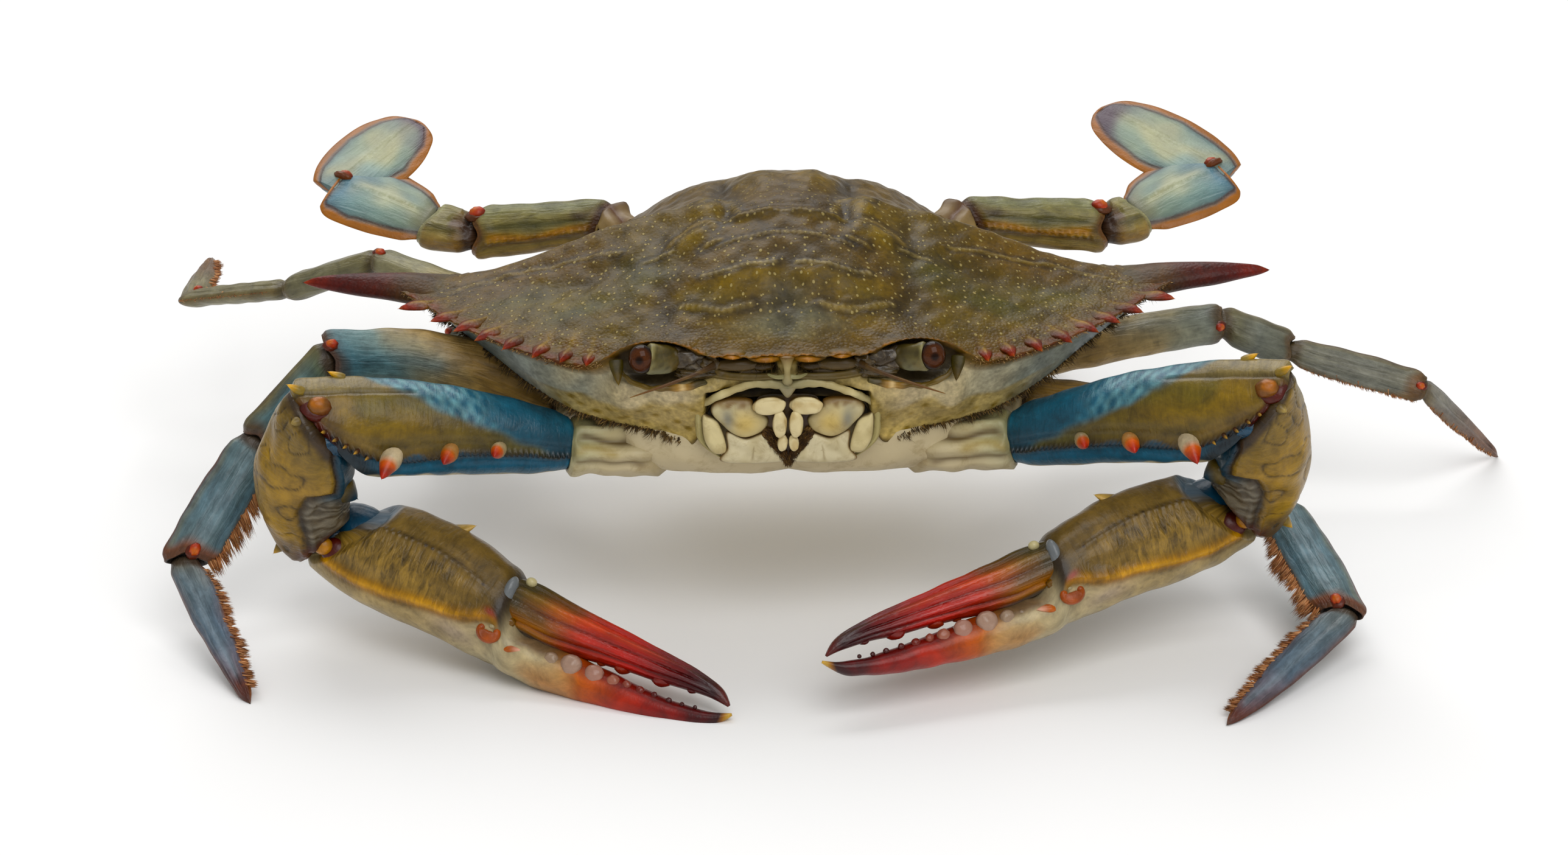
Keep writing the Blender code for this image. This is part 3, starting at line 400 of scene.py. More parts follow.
def between(a, b, c, d, t):
    """The smooth curve through four points, at a share of the way from the second to the third."""
    return 0.5 * (2 * b + (c - a) * t + (2 * a - 5 * b + 4 * c - d) * t ** 2 + (3 * b - a - 3 * c + d)
        * t ** 3)


def spline(rows, place):
    """Smooth values between evenly spaced rows, for an array of places from 0 to 1."""
    rows = np.array(rows, float)
    last = len(rows) - 1
    spot = np.clip(place, 0, 1) * last
    first = np.minimum(spot.astype(int), last - 1)
    return between(rows[np.maximum(first - 1, 0)], rows[first], rows[first + 1],
        rows[np.minimum(first + 2, last)], (spot - first)[:, None])


def read_table(rows, place):
    """Smooth values between rows whose first number is their place."""
    rows = np.array(rows, float)
    knots, values = rows[:, 0], rows[:, 1:]
    slopes = np.gradient(values, knots, axis=0)
    first = np.clip(np.searchsorted(knots, place) - 1, 0, len(knots) - 2)
    step = (knots[first + 1] - knots[first])[:, None]
    t = np.clip((place - knots[first])[:, None] / step, 0, 1)
    start, end = values[first], values[first + 1]
    return (start * (1 + 2 * t) * (1 - t) ** 2 + end * t * t * (3 - 2 * t) + step
        * (slopes[first] * t * (1 - t) ** 2 - slopes[first + 1] * t * t * (1 - t)))


def gradient(stops, place):
    """Colour along a row of (place, web colour) stops."""
    places = [stop[0] for stop in stops]
    colours = np.array([linear(stop[1]) for stop in stops])
    return np.stack([np.interp(place, places, colours[:, channel]) for channel in range(3)], -1)


def blend(colours, *layers):
    """Colours moved towards web colours, one after the other, each with a weight for every point."""
    for code, weight in layers:
        weight = np.clip(weight, 0, 1)[:, None]
        colours = colours * (1 - weight) + linear(code) * weight
    return colours


def flat_paint(points, code):
    """One web colour for every point."""
    return np.zeros((len(points), 3)) + linear(code)


def flat_marks(points, grit=0, streaks=0):
    """The same grit and streaks for every point."""
    return np.zeros((len(points), 3)) + (grit, streaks, 0)


def limb_frame(path, face, place):
    """Middle of a limb at each place, with the ways across and through it."""
    step = 0.01
    centre = spline(path, place)
    along = unit(spline(path, np.minimum(place + step, 1)) - spline(path, np.maximum(place - step, 0)))
    broad = unit(np.cross(along, face))
    return centre, broad, unit(np.cross(broad, along))


# Caps of a limb stretch as (share of the way to the middle, millimetres outwards): the start bulges
# into its neighbour, and the far end is hollowed to take the next stretch
START_CAP = [(0.18, 0.7), (0.5, 1.2), (0.8, 1.4), (1, 1.5)]
SOCKET_CAP = [(0.1, 0.1), (0.2, -1), (0.5, -1.5), (1, -1.6)]
TIP_CAP = [(0.3, 0.1), (0.6, 0.2), (0.85, 0.25), (1, 0.25)]
CAP_ROWS = 3
SOCKET_SHADE = "#20140c"


def limb(path, sections, face, columns, rows, cuts=(None, None), top=(0, 0, 1), edge=1, neck=0.88, lip=1.04,
        rough=0.1, seed=1, notches=()):
    """Skin of one stretch of a limb. Sections are as in the solids, cuts are the planes of its two joints,
    and top is the way that angle 0 looks, with 90 degrees towards the face. Notches are the angle, width
    in degrees and depth of the bays in its far edge, where the next stretch folds in."""
    columns = fine(columns)
    shell = net(columns, fine(rows) + 2 * CAP_ROWS)
    # A section that names no shift has none
    sections = [(*row, 0)[:4] for row in sections]
    half_way = limb_frame(path, face, np.array([0.5]))[1][0]
    up = -1 if half_way[2] < -0.2 else 1
    turn = 1 if half_way @ np.array(top) >= 0 else -1

    def skin(place, angle, grow=1):
        centre, broad, thin = limb_frame(path, face, place)
        half_broad, half_thin, shift = read_table(sections, place).T
        middle = centre + broad * (up * shift)[:, None]
        across = np.cos(angle) * half_broad * grow * turn
        through = np.sin(angle) * np.abs(np.sin(angle)) ** (edge - 1) * half_thin * grow
        return middle + broad * across[:, None] + thin * through[:, None], middle, across * turn, through

    grid = np.linspace(0, 1, 61)
    middles = spline(path, grid)
    length = np.linalg.norm(np.diff(middles, axis=0), axis=1).sum()
    angles = np.arange(columns) * 2 * np.pi / columns
    samples = skin(np.tile(grid, columns), np.repeat(angles, len(grid)))[0].reshape(columns, len(grid), 3)
    starts, ends = np.zeros(columns), np.ones(columns)
    for column in range(columns):
        for cut, limits, want in zip(cuts, (starts, ends), (GAP / 2, -GAP / 2)):
            if cut is not None:
                away = np.maximum.accumulate((samples[column] - cut[0]) @ cut[1])
                limits[column] = np.interp(want, away, grid)
    for angle, width, depth in notches:
        ends -= depth / length * round_bell(np.degrees(angles), angle, width)
    body_rows = shell.rows - 2 * CAP_ROWS
    row = shell.ring - 1 - CAP_ROWS
    even = np.clip(row / (body_rows - 1), 0, 1)
    # The rings lie closer together towards both ends, where the joints are
    t = even - 0.6 * np.sin(2 * np.pi * even) / (2 * np.pi)
    start, end = starts[shell.column], ends[shell.column]
    place = start + (end - start) * t
    from_start, to_end = (place - start) * length, (end - place) * length
    grow = np.ones(len(t))
    if cuts[0] is not None:
        grow *= 1 - (1 - neck) * fall(from_start, 0, 2.2)
    if cuts[1] is not None:
        grow *= 1 + (lip - 1) * bell(to_end, 1.9, 1.3)
        grow *= 1 - 0.13 * fall(to_end, 0, 1)
    points, middle, across, through = skin(place, shell.angle, grow)
    for ring, cap, cut, way in ((0, START_CAP, cuts[0], -1), (body_rows - 1, SOCKET_CAP, cuts[1], 1)):
        cap = cap if cut is not None else TIP_CAP
        normal = unit(middles[-1 if way > 0 else 0] - middles[-2 if way > 0 else 1])
        if cut is not None:
            normal = cut[1] * way
        centre = points[row == ring].mean(axis=0)
        depth = (row - ring) * way
        for step, (share, out) in enumerate(cap, start=1):
            here = depth == step
            points[here] += (centre - points[here]) * share + normal * out
    outward = unit(points - middle)
    in_body = (row >= 0) & (row < body_rows)
    if rough:
        points += outward * (waves(points, 7, seed) * rough * in_body)[:, None]
    lie = np.stack([place * length, across, through], -1)
    return SimpleNamespace(points=points, tris=shell.tris, quads=shell.quads, t=t, place=place, row=row,
        degrees=np.degrees(shell.angle), along=place * length, from_start=from_start, to_end=to_end,
        outward=outward, lie=lie, in_body=in_body, body_rows=body_rows, middle=middle, seed=seed)


def raise_ridges(skin, ridges):
    """Ridges and grooves along a limb: angle, width in degrees, start, end and height."""
    for angle, width, start, end, height in ridges:
        amount = height * round_bell(skin.degrees, angle, width) * window(skin.t, start, end) * skin.in_body
        skin.points += skin.outward * amount[:, None]
    return skin


def colour_limb(skin, stops, patches, neck=None, marks=(0, 1), rim=None):
    """Paints a limb: stops along it, then patches given as angle, width, start, end, colour and strength.
    Rim is the colour of a band along its far edge."""
    jitter = waves(skin.lie, 9, skin.seed + 40)
    wander = np.clip(skin.t + 0.045 * jitter, 0, 1)
    colours = gradient(stops, wander)
    for angle, width, start, end, code, strength in patches:
        amount = strength * round_bell(skin.degrees + 7 * jitter, angle, width) * window(wander, start, end)
        colours = blend(colours, (code, amount))
    if neck:
        first_half = skin.row < skin.body_rows / 2
        colours = blend(colours, (neck, 0.9 * fall(skin.from_start, 0.4, 1.8) * first_half))
    if rim:
        last_half = skin.row >= skin.body_rows / 2
        colours = blend(colours, (rim, 0.8 * fall(skin.to_end + 0.3 * jitter, 0.3, 1.5) * last_half))
    colours = blend(colours, (SOCKET_SHADE, skin.row >= skin.body_rows))
    skin.paint = colours
    skin.marks = flat_marks(colours, *marks)
    return skin


def plain(points, tris, quads, code, lie=None):
    """A surface of one colour."""
    return SimpleNamespace(points=points, tris=tris, quads=quads, paint=flat_paint(points, code),
        marks=flat_marks(points), lie=points.copy() if lie is None else lie)


def blob(middle, half, code, columns=24, rows=14, box=1, turn=None, rough=0, seed=3):
    """An ellipsoid, fuller towards its corners with box below 1, turned by a matrix."""
    shell = net(fine(columns), fine(rows))
    polar = shell.ring * np.pi / (shell.rows + 1)
    ball = np.stack([np.sin(polar) * np.cos(shell.angle), np.sin(polar) * np.sin(shell.angle),
        np.cos(polar)], -1)
    offset = np.sign(ball) * np.abs(ball) ** box * np.array(half)
    if rough:
        offset *= 1 + rough * waves(ball * 10, 9, seed)[:, None]
    if turn is not None:
        offset = offset @ np.array(turn).T
    return plain(np.array(middle) + offset, shell.tris, shell.quads, code, lie=offset)


def rod(path, radii, code, columns=12, rows=24, face=(0, -1, 0.2), flat=1):
    """A tapering rod along a path; radii are (place, radius) rows."""
    skin = limb(path, [(place, radius, radius * flat) for place, radius in radii], face, columns, rows,
        rough=0)
    skin.paint = flat_paint(skin.points, code)
    skin.marks = flat_marks(skin.points)
    return skin


def tooth(root, tip, radius, code, tip_code, flat=0.6, way=(0, 0, 1), middle_code=None):
    """A pointed tooth with a flared root and its own tip colour."""
    root, tip = np.array(root, float), np.array(tip, float)
    profile = [(0, 1.1), (0.3, 1.1), (0.5, 0.86), (0.75, 0.48), (0.92, 0.18), (1, 0.04)]
    sections = [(place, radius * size, radius * size * flat) for place, size in profile]
    shell = limb([root, (root + tip) / 2, tip], sections, way, 20, 18, rough=0)
    stops = [(0, code), (0.4, code), (0.8, tip_code), (1, tip_code)]
    if middle_code:
        stops.insert(2, (0.56, middle_code))
    shell.paint = gradient(stops, shell.t)
    shell.marks = flat_marks(shell.points)
    shell.lie = shell.points.copy()
    return shell


def mirrored(points, side):
    """A point, or a list of points, of the crab's left side, moved to the side that is wanted."""
    return np.array(points, float) * (side, 1, 1)


def outward_faces(part):
    """The part's faces, turned round where they point inwards."""
    points, tris, quads = part.points, part.tris, part.quads
    volume = 0
    for faces in (tris, quads[:, :3], quads[:, [0, 2, 3]]):
        a, b, c = (points[faces[:, corner]] for corner in range(3))
        volume += np.einsum("ij,ij->", a, np.cross(b, c))
    return (tris[:, ::-1], quads[:, ::-1]) if volume < 0 else (tris, quads)


def add_object(name, data):
    """A new object in the scene."""
    made = bpy.data.objects.new(name, data)
    bpy.context.scene.collection.objects.link(made)
    return made


def make_piece(name, parts, finish, nodes=(), bake=None):
    """One object from closed surfaces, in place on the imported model, standing for the nodes given."""
    counts = np.cumsum([0] + [len(part.points) for part in parts])
    faces = [outward_faces(part) for part in parts]
    tris = np.concatenate([face[0] + start for face, start in zip(faces, counts)])
    quads = np.concatenate([face[1] + start for face, start in zip(faces, counts)])
    mesh = bpy.data.meshes.new(name)
    mesh.vertices.add(counts[-1])
    points = np.concatenate([part.points for part in parts])
    points[:, 2] = np.maximum(points[:, 2], 0)
    mesh.vertices.foreach_set("co", ((points + STANCE) * MM).astype(np.float32).ravel())
    corners = np.concatenate([tris.ravel(), quads.ravel()])
    mesh.loops.add(len(corners))
    mesh.loops.foreach_set("vertex_index", corners)
    mesh.polygons.add(len(tris) + len(quads))
    starts = np.concatenate([np.arange(len(tris)) * 3, len(tris) * 3 + np.arange(len(quads)) * 4])
    mesh.polygons.foreach_set("loop_start", starts)
    mesh.update(calc_edges=True)
    mesh.validate()
    for layer in ("paint", "marks"):
        values = np.concatenate([getattr(part, layer) for part in parts])
        stored = mesh.attributes.new(layer, "FLOAT_COLOR", "POINT")
        stored.data.foreach_set("color",
            np.column_stack([values, np.ones(len(values))]).astype(np.float32).ravel())
    stored = mesh.attributes.new("lie", "FLOAT_VECTOR", "POINT")
    stored.data.foreach_set("vector",
        np.concatenate([part.lie for part in parts]).astype(np.float32).ravel())
    if bake is not None:
        layer = mesh.uv_layers.new(name="OFBake")
        layer.data.foreach_set("uv", bake[corners].astype(np.float32).ravel())
    mesh.shade_smooth()
    mesh.materials.append(FINISHES[finish])
    piece = add_object(name, mesh)
    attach(piece, "root")
    if nodes:
        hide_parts(*nodes)
    return piece


def make_shell(node, parts, finish):
    """The piece that stands for one solid, and is named after it."""
    make_piece(node + "_shell", parts, finish, [node])


def bristles(roots, ways, lengths, radius, colours, root_uv, bend, seed):
    """Many thin tapered hairs as one part, each from its root along its way, bent a little by chance. Also
    gives the place of every point on the unwrap of the skin, one small patch for each hair."""
    bm = bmesh.new()
    bmesh.ops.create_cone(bm, cap_ends=True, segments=4, radius1=1, radius2=0, depth=1)
    whole = bm.verts[:] + bm.edges[:] + bm.faces[:]
    bmesh.ops.bisect_plane(bm, geom=whole, plane_co=(0, 0, 0), plane_no=(0, 0, 1))
    shape, tris, quads = faces_of(bm)
    shape = shape + (0, 0, 0.5)
    draw = np.random.default_rng(seed)
    roots, ways = np.array(roots, float), unit(np.array(ways, float))
    count = len(roots)
    side = unit(np.cross(ways, draw.normal(size=(count, 3))))
    other = np.cross(ways, side)
    lengths = np.asarray(lengths)[:, None, None]
    lean = (side * draw.normal(size=(count, 1)) * bend)[:, None, :]
    up = shape[None, :, 2:3]
    points = (roots[:, None, :] + side[:, None, :] * shape[None, :, :1] * radius + other[:, None, :]
        * shape[None, :, 1:2] * radius + (ways[:, None, :] * up + lean * up ** 2) * lengths).reshape(-1, 3)
    shift = (np.arange(count) * len(shape))[:, None, None]
    part = SimpleNamespace(points=points, tris=(tris[None] + shift).reshape(-1, 3),
        quads=(quads[None] + shift).reshape(-1, 4), lie=points.copy(),
        paint=np.repeat(colours, len(shape), axis=0), marks=flat_marks(points))
    spread = shape[:, [0, 2]] * np.array([0.001, 0.002])
    return part, (np.asarray(root_uv)[:, None, :] + spread[None]).reshape(-1, 2)


def make_hair(name, roots, ways, lengths, radius, colours, root_uv, bend, seed):
    """A fringe of hairs as one piece."""
    part, bake = bristles(roots, ways, lengths, radius, colours, root_uv, bend, seed)
    make_piece(name, [part], "setae", bake=bake)


def carapace_profile(place, rise):
    """Points of the shield. Place runs along the edge, 0 front to 1 rear. Rise is 0 at the top of the dome
    and 1 at the edge, reaches 2 at the lower edge, and 3 at the middle of the underside."""
    edge = spline([row[0] for row in CARAPACE_EDGE], place)
    lower = spline([row[1] for row in CARAPACE_EDGE], place)
    fall, base = spline([row[2:] for row in CARAPACE_EDGE], place).T
    middle = np.array([0, CARAPACE_CENTRE_Y, 0])
    top_rise = np.minimum(rise, 1)
    top = middle + (edge - middle) * top_rise[:, None]
    lobes = lobe_height(top[:, 0], top[:, 1]) * (1 - top_rise ** 6)
    top[:, 2] = (base + (DOME_HEIGHT - base) * (1 - top_rise ** DOME_POWER) ** fall + (edge[:, 2] - base)
        * top_rise ** 7 + lobes)
    rim = middle + (edge - middle) * RIM_INSET
    rim[:, 2] = edge[:, 2] - RIM_DROP
    wall = rim + (lower - rim) * np.clip(rise - 1, 0, 1)[:, None]
    inward = np.clip(rise - 2, 0, 1)
    ceiling = np.array([0, CARAPACE_CENTRE_Y, CEILING_HEIGHT])
    under = lower + (ceiling - lower) * inward[:, None]
    under[:, 2] = lower[:, 2] + (CEILING_HEIGHT - lower[:, 2]) * np.minimum(1, inward * 4)
    turning = smooth(rise, 1, 1.09)[:, None]
    points = top * (1 - turning) + wall * turning
    return np.where((rise <= 2)[:, None], points, under)


def ellipse(x, y, middle, reach):
    """Squared distance in plan from the middle of an ellipse, 1 at its edge."""
    return ((x - middle[0]) / reach[0]) ** 2 + ((y - middle[1]) / reach[1]) ** 2


def lobe_height(x, y):
    """Height that the swollen regions and grooves add to the back."""
    x, height = np.abs(x), 0
    for middle, reach, rise in LOBES:
        height += rise * np.maximum(0, 1 - ellipse(x, y, middle, reach) / 4) ** 2
    for middle, reach, rise in FOLDS:
        height += 1.2 * rise * np.exp(-ellipse(x, y, middle, reach))
    return height


def line_distance(x, y, line):
    """Distance in plan from a line of points, and how far along it the nearest point is."""
    nearest = np.full(len(x), 1e9)
    reach = np.zeros(len(x))
    travelled = 0
    for start, end in zip(np.array(line[:-1]), np.array(line[1:])):
        step = end - start
        length = np.hypot(*step)
        t = np.clip(((x - start[0]) * step[0] + (y - start[1]) * step[1]) / length ** 2, 0, 1)
        away = np.hypot(x - start[0] - step[0] * t, y - start[1] - step[1] * t)
        closer = away < nearest
        reach = np.where(closer, travelled + t * length, reach)
        nearest = np.minimum(nearest, away)
        travelled += length
    return nearest, reach


# Colours of the back, as middle x and y, reach in x and y, colour and strength, alike on both sides
BACK_CLOUDS = [
    ((0, -4), (16, 12), "#4b3e28", 0.85),
    ((0, -16), (14, 5), "#463e31", 0.8),
    ((0, 22), (18, 14), "#60522c", 0.7),
    ((22, -2), (9, 12), "#5e5025", 0.7),
    ((40, -2), (10, 9), "#5c471c", 0.8),
    ((44, -10), (7, 3.5), "#3d3e18", 0.8),
    ((34, -17), (8, 4), "#3d401b", 0.8),
    ((24, -12.5), (4, 5), "#3e401e", 0.7),
    ((38, -12), (9, 4), "#615629", 0.7),
    ((28, -24), (9, 4), "#5a4d21", 0.7),
    ((13, -22.5), (6, 3), "#6a5e33", 0.6),
    ((0, -28), (10, 2.8), "#6d6d5c", 0.8),
    ((0, -23), (5, 4), "#555548", 0.7),
    ((17, -29.5), (7, 2), "#3c3426", 0.8),
    ((5, -32.4), (5, 1.2), "#4a3c22", 0.6),
    ((58, -3), (6, 5), "#4c3e1e", 0.6),
    ((14, -1), (3.4, 3.4), "#6c5827", 0.55),
]


def paint_back(points, rise, place):
    """Colours of the shield, above and below its edge."""
    x, y = np.abs(points[:, 0]), points[:, 1]
    warp = waves(points, 11, 21) * 1.5
    colours = flat_paint(points, "#5f4c26")
    for middle, reach, code, strength in BACK_CLOUDS:
        colours = blend(colours, (code, strength * np.exp(-ellipse(x + warp, y + warp, middle, reach))))
    # Furrows are painted dark and swellings pale: painted shade in the furrows, painted light on the
    # swellings.
    for middle, reach, height in FOLDS:
        fold = np.exp(-ellipse(x + warp * 0.3, y + warp * 0.3, middle, reach))
        code = "#241c0c" if height < 0 else "#7c6a38"
        colours = blend(colours, (code, min(0.8, abs(height) * 0.75) * fold))
    # Painted shade where the back lies low between its lobes, painted light on the crowns of the lobes.
    swell = lobe_height(x + 0.4 * warp, y)
    colours = blend(
        colours,
        ("#231b0b", 0.55 * smooth(-swell, 0.05, 0.9)),
        ("#6e5f3c", 0.32 * smooth(swell, 0.5, 1.7)),
    )
    for line, _, width, code in RAISED_LINES:
        away, reach = line_distance(x, y, line)
        beads = 0.6 + 0.4 * beads_along(reach, BEAD_SPACING)
        # Each line keeps its own pale beads, with a band of painted shade along both its sides.
        colours = blend(
            colours,
            ("#221a0c", 0.6 * bell(away, width * 2.4, width * 1.6)),
            (code, 0.75 * beads * bell(away, 0, width * 1.15)),
        )
    for root, tip, _ in EDGE_TEETH[1:]:
        root, tip = np.array(root)[:2], np.array(tip)[:2]
        away, reach = line_distance(x, y, [root, root + (root - tip) * 2])
        colours = blend(
            colours,
            ("#9a8352", 0.5 * bell(away, 0, 0.4) * np.clip(1 - reach / 7, 0, 1)),
            ("#5a2f1c", 0.45 * bell(away, 0.9, 0.5) * np.clip(1 - reach / 5, 0, 1)),
        )
    front_side = smooth(place, 0.3, 0.34) * fall(place, 0.55, 0.58)
    rust = front_side * smooth(rise, 0.94, 0.985) * np.clip(0.6 + 0.5 * waves(points, 2.2, 24), 0, 1)
    frontal = fall(place, 0.27, 0.31)
    broken = np.clip(0.6 + 0.6 * waves(points, 3, 23), 0, 1)
    # A paler band along the rear slope of the shield is a painted sheen.
    rear = window(place, 0.56, 1.1, 0.05) * smooth(rise + 0.02 * warp, 0.74, 0.97)
    colours = blend(
        colours,
        ("#6e3a22", 0.85 * rust),
        ("#a06c26", frontal * bell(rise, 1.005, 0.014) * broken),
        ("#6c5936", 0.3 * rear),
    )
    return np.where((rise <= 1.06)[:, None], colours, paint_wall(points, rise, place))


def paint_wall(points, rise, place):
    """Colours of the wall below the edge, from the mouth round to the rear."""
    down = rise - 1
    jitter = waves(points, 7, 31)
    colours = gradient([(0, "#aea079"), (0.14, "#beb08a"), (0.2, "#cfc3a6"), (0.3, "#c6bc9f"),
        (0.38, "#96998e"), (0.48, "#667274"), (0.58, "#5c5a46"), (0.7, "#7a6c48"), (1, "#8a7c56")],
        place + 0.02 * jitter)
    low = smooth(down + 0.06 * jitter, 0.52, 0.62) * fall(place, 0.36, 0.44)
    colours = blend(
        colours,
        ("#a8986c", 0.75 * low),
        ("#c0b083", bell(down, 0.9, 0.07) * fall(place, 0.3, 0.36) * 0.8),
        ("#6c5a2c", 0.8 * low * np.clip(waves(points, 2.2, 33) - 0.3, 0, 1)),
        ("#5a4420", fall(down, 0.04, 0.12) * 0.85),
        ("#3a2c18", smooth(down, 0.94, 0.99) * 0.8),
    )
    return colours


def carve_front(points, rise):
    """Shapes the front wall: eye sockets with a shelf below them, the two hollows of the small feelers,
    and the mouth."""
    x, y, z = np.abs(points[:, 0]), points[:, 1], points[:, 2]
    wall = (rise > 1.02) & (rise < 2)
    shelf = window(x, 11, 28.5, 2) * fall(z, 44.7, 46.3) * smooth(z, 34.5, 43)
    y -= 2.4 * shelf * wall
    for side in (RIGHT, LEFT):
        middle, reach = ORBIT_MIDDLE, ORBIT_REACH
        inside = 1 - ((points[:, 0] - middle[0] * side) / reach[0]) ** 2 - ((z - middle[2]) / reach[2]) ** 2
        back = middle[1] + 1.5 + reach[1] * np.sqrt(np.clip(inside, 0, 1))
        take = (inside > 0) & (rise > 1.02) & (rise < 1.95) & (y < back)
        y[take] = back[take]
    hollow = smooth(x, 1.2, 2.6) * fall(x, 12, 14.5) * window(z, 46.6, 50.2, 0.45)
    y += 3.6 * hollow * wall
    mouth = fall(x, 12.5, 13.6) * fall(z, 43.4, 44.2)
    y += 3.4 * mouth * ((rise > 1.1) & (rise < 2))
    points[:, 1] = y
    return hollow * wall, mouth * ((rise > 1.1) & (rise < 2))


def build_carapace():
    """The shield with its lobes, granular lines, edge teeth and side spines, in one piece."""
    rises = np.concatenate([np.linspace(0, 0.9, fine(84)), np.linspace(0.9, 1, fine(14))[1:],
        np.linspace(1, 2, fine(48))[1:], [2.06, 2.15, 2.3, 2.6]])[1:]
    shell = net(fine(550), len(rises))
    rise = np.concatenate([[0], rises, [3]])[shell.ring]
    turn = (shell.angle + np.pi) % (2 * np.pi) - np.pi
    place = np.abs(turn) / np.pi
    points = carapace_profile(place, rise)
    points[:, 0] *= np.where(turn >= 0, 1, -1)
    hollow, mouth = carve_front(points, rise)
    x, y = np.abs(points[:, 0]), points[:, 1]
    above = fall(rise, 0.95, 1)
    for line, height, width, _ in RAISED_LINES:
        away, reach = line_distance(x, y, line)
        beads = 0.7 + 0.3 * beads_along(reach, BEAD_SPACING)
        points[:, 2] += height * 1.05 * beads * bell(away, 0, width * 0.9) * above
    points[:, 2] += 0.14 * waves(points, 5, 11) * above
    # A row of fine beads along the edge, then the two rounded lobes of the front
    points[:, 2] += bell(rise, 0.99, 0.012) * (0.5 + 0.5 * np.sin(place * 520)) * 0.3
    lobed = np.exp(-((x - 8.7) / 2.2) ** 2) + 0.6 * np.exp(-((x - 3.6) / 2.2) ** 2)
    points[:, 2] += 0.9 * lobed * bell(rise, 1, 0.03) * (y < 0)
    paint = paint_back(points, rise, place)
    # The hollows of the small feelers and the mouth recess are painted near black: painted shade.
    paint = blend(
        paint,
        ("#1a1208", 0.9 * hollow),
        ("#0e0904", mouth),
    )
    wall = (rise > 1.03) & (rise < 2)
    # Each eye socket is painted dark: painted shadow in the hollow round the eye.
    for side in (RIGHT, LEFT):
        away = np.sqrt(((points[:, 0] - ORBIT_MIDDLE[0] * side) / (ORBIT_REACH[0] + 0.6)) ** 2
            + ((points[:, 2] - ORBIT_MIDDLE[2]) / (ORBIT_REACH[2] + 0.3)) ** 2)
        paint = blend(paint, ("#2a2010", 0.92 * fall(away, 0.88, 1) * wall))
    marks = flat_marks(points)
    on_back = rise < 1
    front = fall(y, -4, 12)
    clear = 1 - 0.8 * bell(x, 0, 5) * bell(y, -8, 4)
    band = fall(-y, 25.5, 28.5)
    marks[:, 0] = on_back * (0.2 + 0.6 * front) * clear * (0.3 + 0.7 * band) * fall(rise, 0.9, 0.97)
    marks[:, 1] = on_back * (0.25 + 0.75 * smooth(rise, 0.75, 0.95))
    body = SimpleNamespace(points=points, tris=shell.tris, quads=shell.quads, paint=paint, marks=marks,
        lie=points.copy())
    parts = [body]
    for side in (RIGHT, LEFT):
        root, tip, radius = EDGE_TEETH[0]
        parts.append(tooth(mirrored(root, side), mirrored(tip, side), radius, "#3c3518", "#5c4c22", 0.4))
        for root, tip, radius in EDGE_TEETH[1:]:
            parts.append(edge_tooth(mirrored(root, side), mirrored(tip, side), radius))
        for root, tip, radius in FRONT_TEETH:
            parts.append(tooth(mirrored(root, side), mirrored(tip, side), radius, "#5a4a26", "#9a6a2a",
                flat=0.3))
        parts.append(side_spine(side))
    make_piece("carapace_shell", parts, "back", ["carapace"])


def edge_tooth(root, tip, radius):
    """A flat low tooth of the shield's edge, that runs inwards as a fading rib."""
    root, tip = np.array(root, float), np.array(tip, float)
    inner = root - (tip - root) * 1.1 - (0, 0, 0.2)
    sections = [(0, 0.3, 0.2), (0.3, 0.8, 0.3), (0.52, radius * 1.15, 0.5), (0.66, radius * 0.85, 0.55),
        (0.8, radius * 0.45, 0.42), (0.92, radius * 0.16, 0.2), (1, 0.05, 0.05)]
    shell = limb([inner, root, tip], sections, (0, 0, 1), 20, 28, rough=0.06, seed=int(abs(tip[0]) * 10))
    raise_ridges(shell, [(90, 16, 0.1, 0.95, 0.2)])
    shell.paint = gradient([(0, "#5c4a24"), (0.4, "#5e4626"), (0.56, "#663a22"), (0.72, "#783222"),
        (0.88, "#8e3a24"), (1, "#aa6a44")], shell.t)
    shell.paint = blend(
        shell.paint,
        ("#a08c5c", 0.6 * round_bell(shell.degrees, 90, 14) * window(shell.t, 0.1, 0.72)),
        ("#3c2a14", 0.6 * round_bell(shell.degrees, 0, 34) * window(shell.t, 0.2, 0.8)),
    )
    shell.marks = flat_marks(shell.points, 0, 0.5)
    shell.lie = shell.points.copy()
    return shell


def side_spine(side):
    """The long spine at the corner of the shield, flat below and keeled above."""
    root, tip = mirrored(SPINE_ROOT, side), mirrored(SPINE_TIP, side)
    sections = [(0, 6.5, 0.9), (0.2, 6.2, 1.7), (0.36, 5, 2.1), (0.52, 3.6, 2), (0.72, 2.3, 1.5),
        (0.88, 1.1, 0.85), (1, 0.12, 0.12)]
    middle = (root + tip) / 2 + np.array([0, -0.5, 0.5])
    skin = limb([root, middle, tip], sections, (0, 0, 1), 28, 70, top=(0, 1, 0), rough=0.06)
    raise_ridges(skin, [(90, 25, 0.2, 0.95, 0.35), (40, 14, 0.3, 0.9, -0.2)])
    colour_limb(skin, [(0, "#52451f"), (0.28, "#4c4024"), (0.42, "#4a3628"), (0.55, "#482a24"),
        (0.82, "#54241e"), (0.93, "#7a3022"), (1, "#984024")],
        [(0, 40, 0, 0.5, "#7a6c4a", 0.5), (70, 14, 0.4, 0.9, "#7c4c40", 0.4)])
    skin.marks = flat_marks(skin.points, 0, 0.4)
    return skin


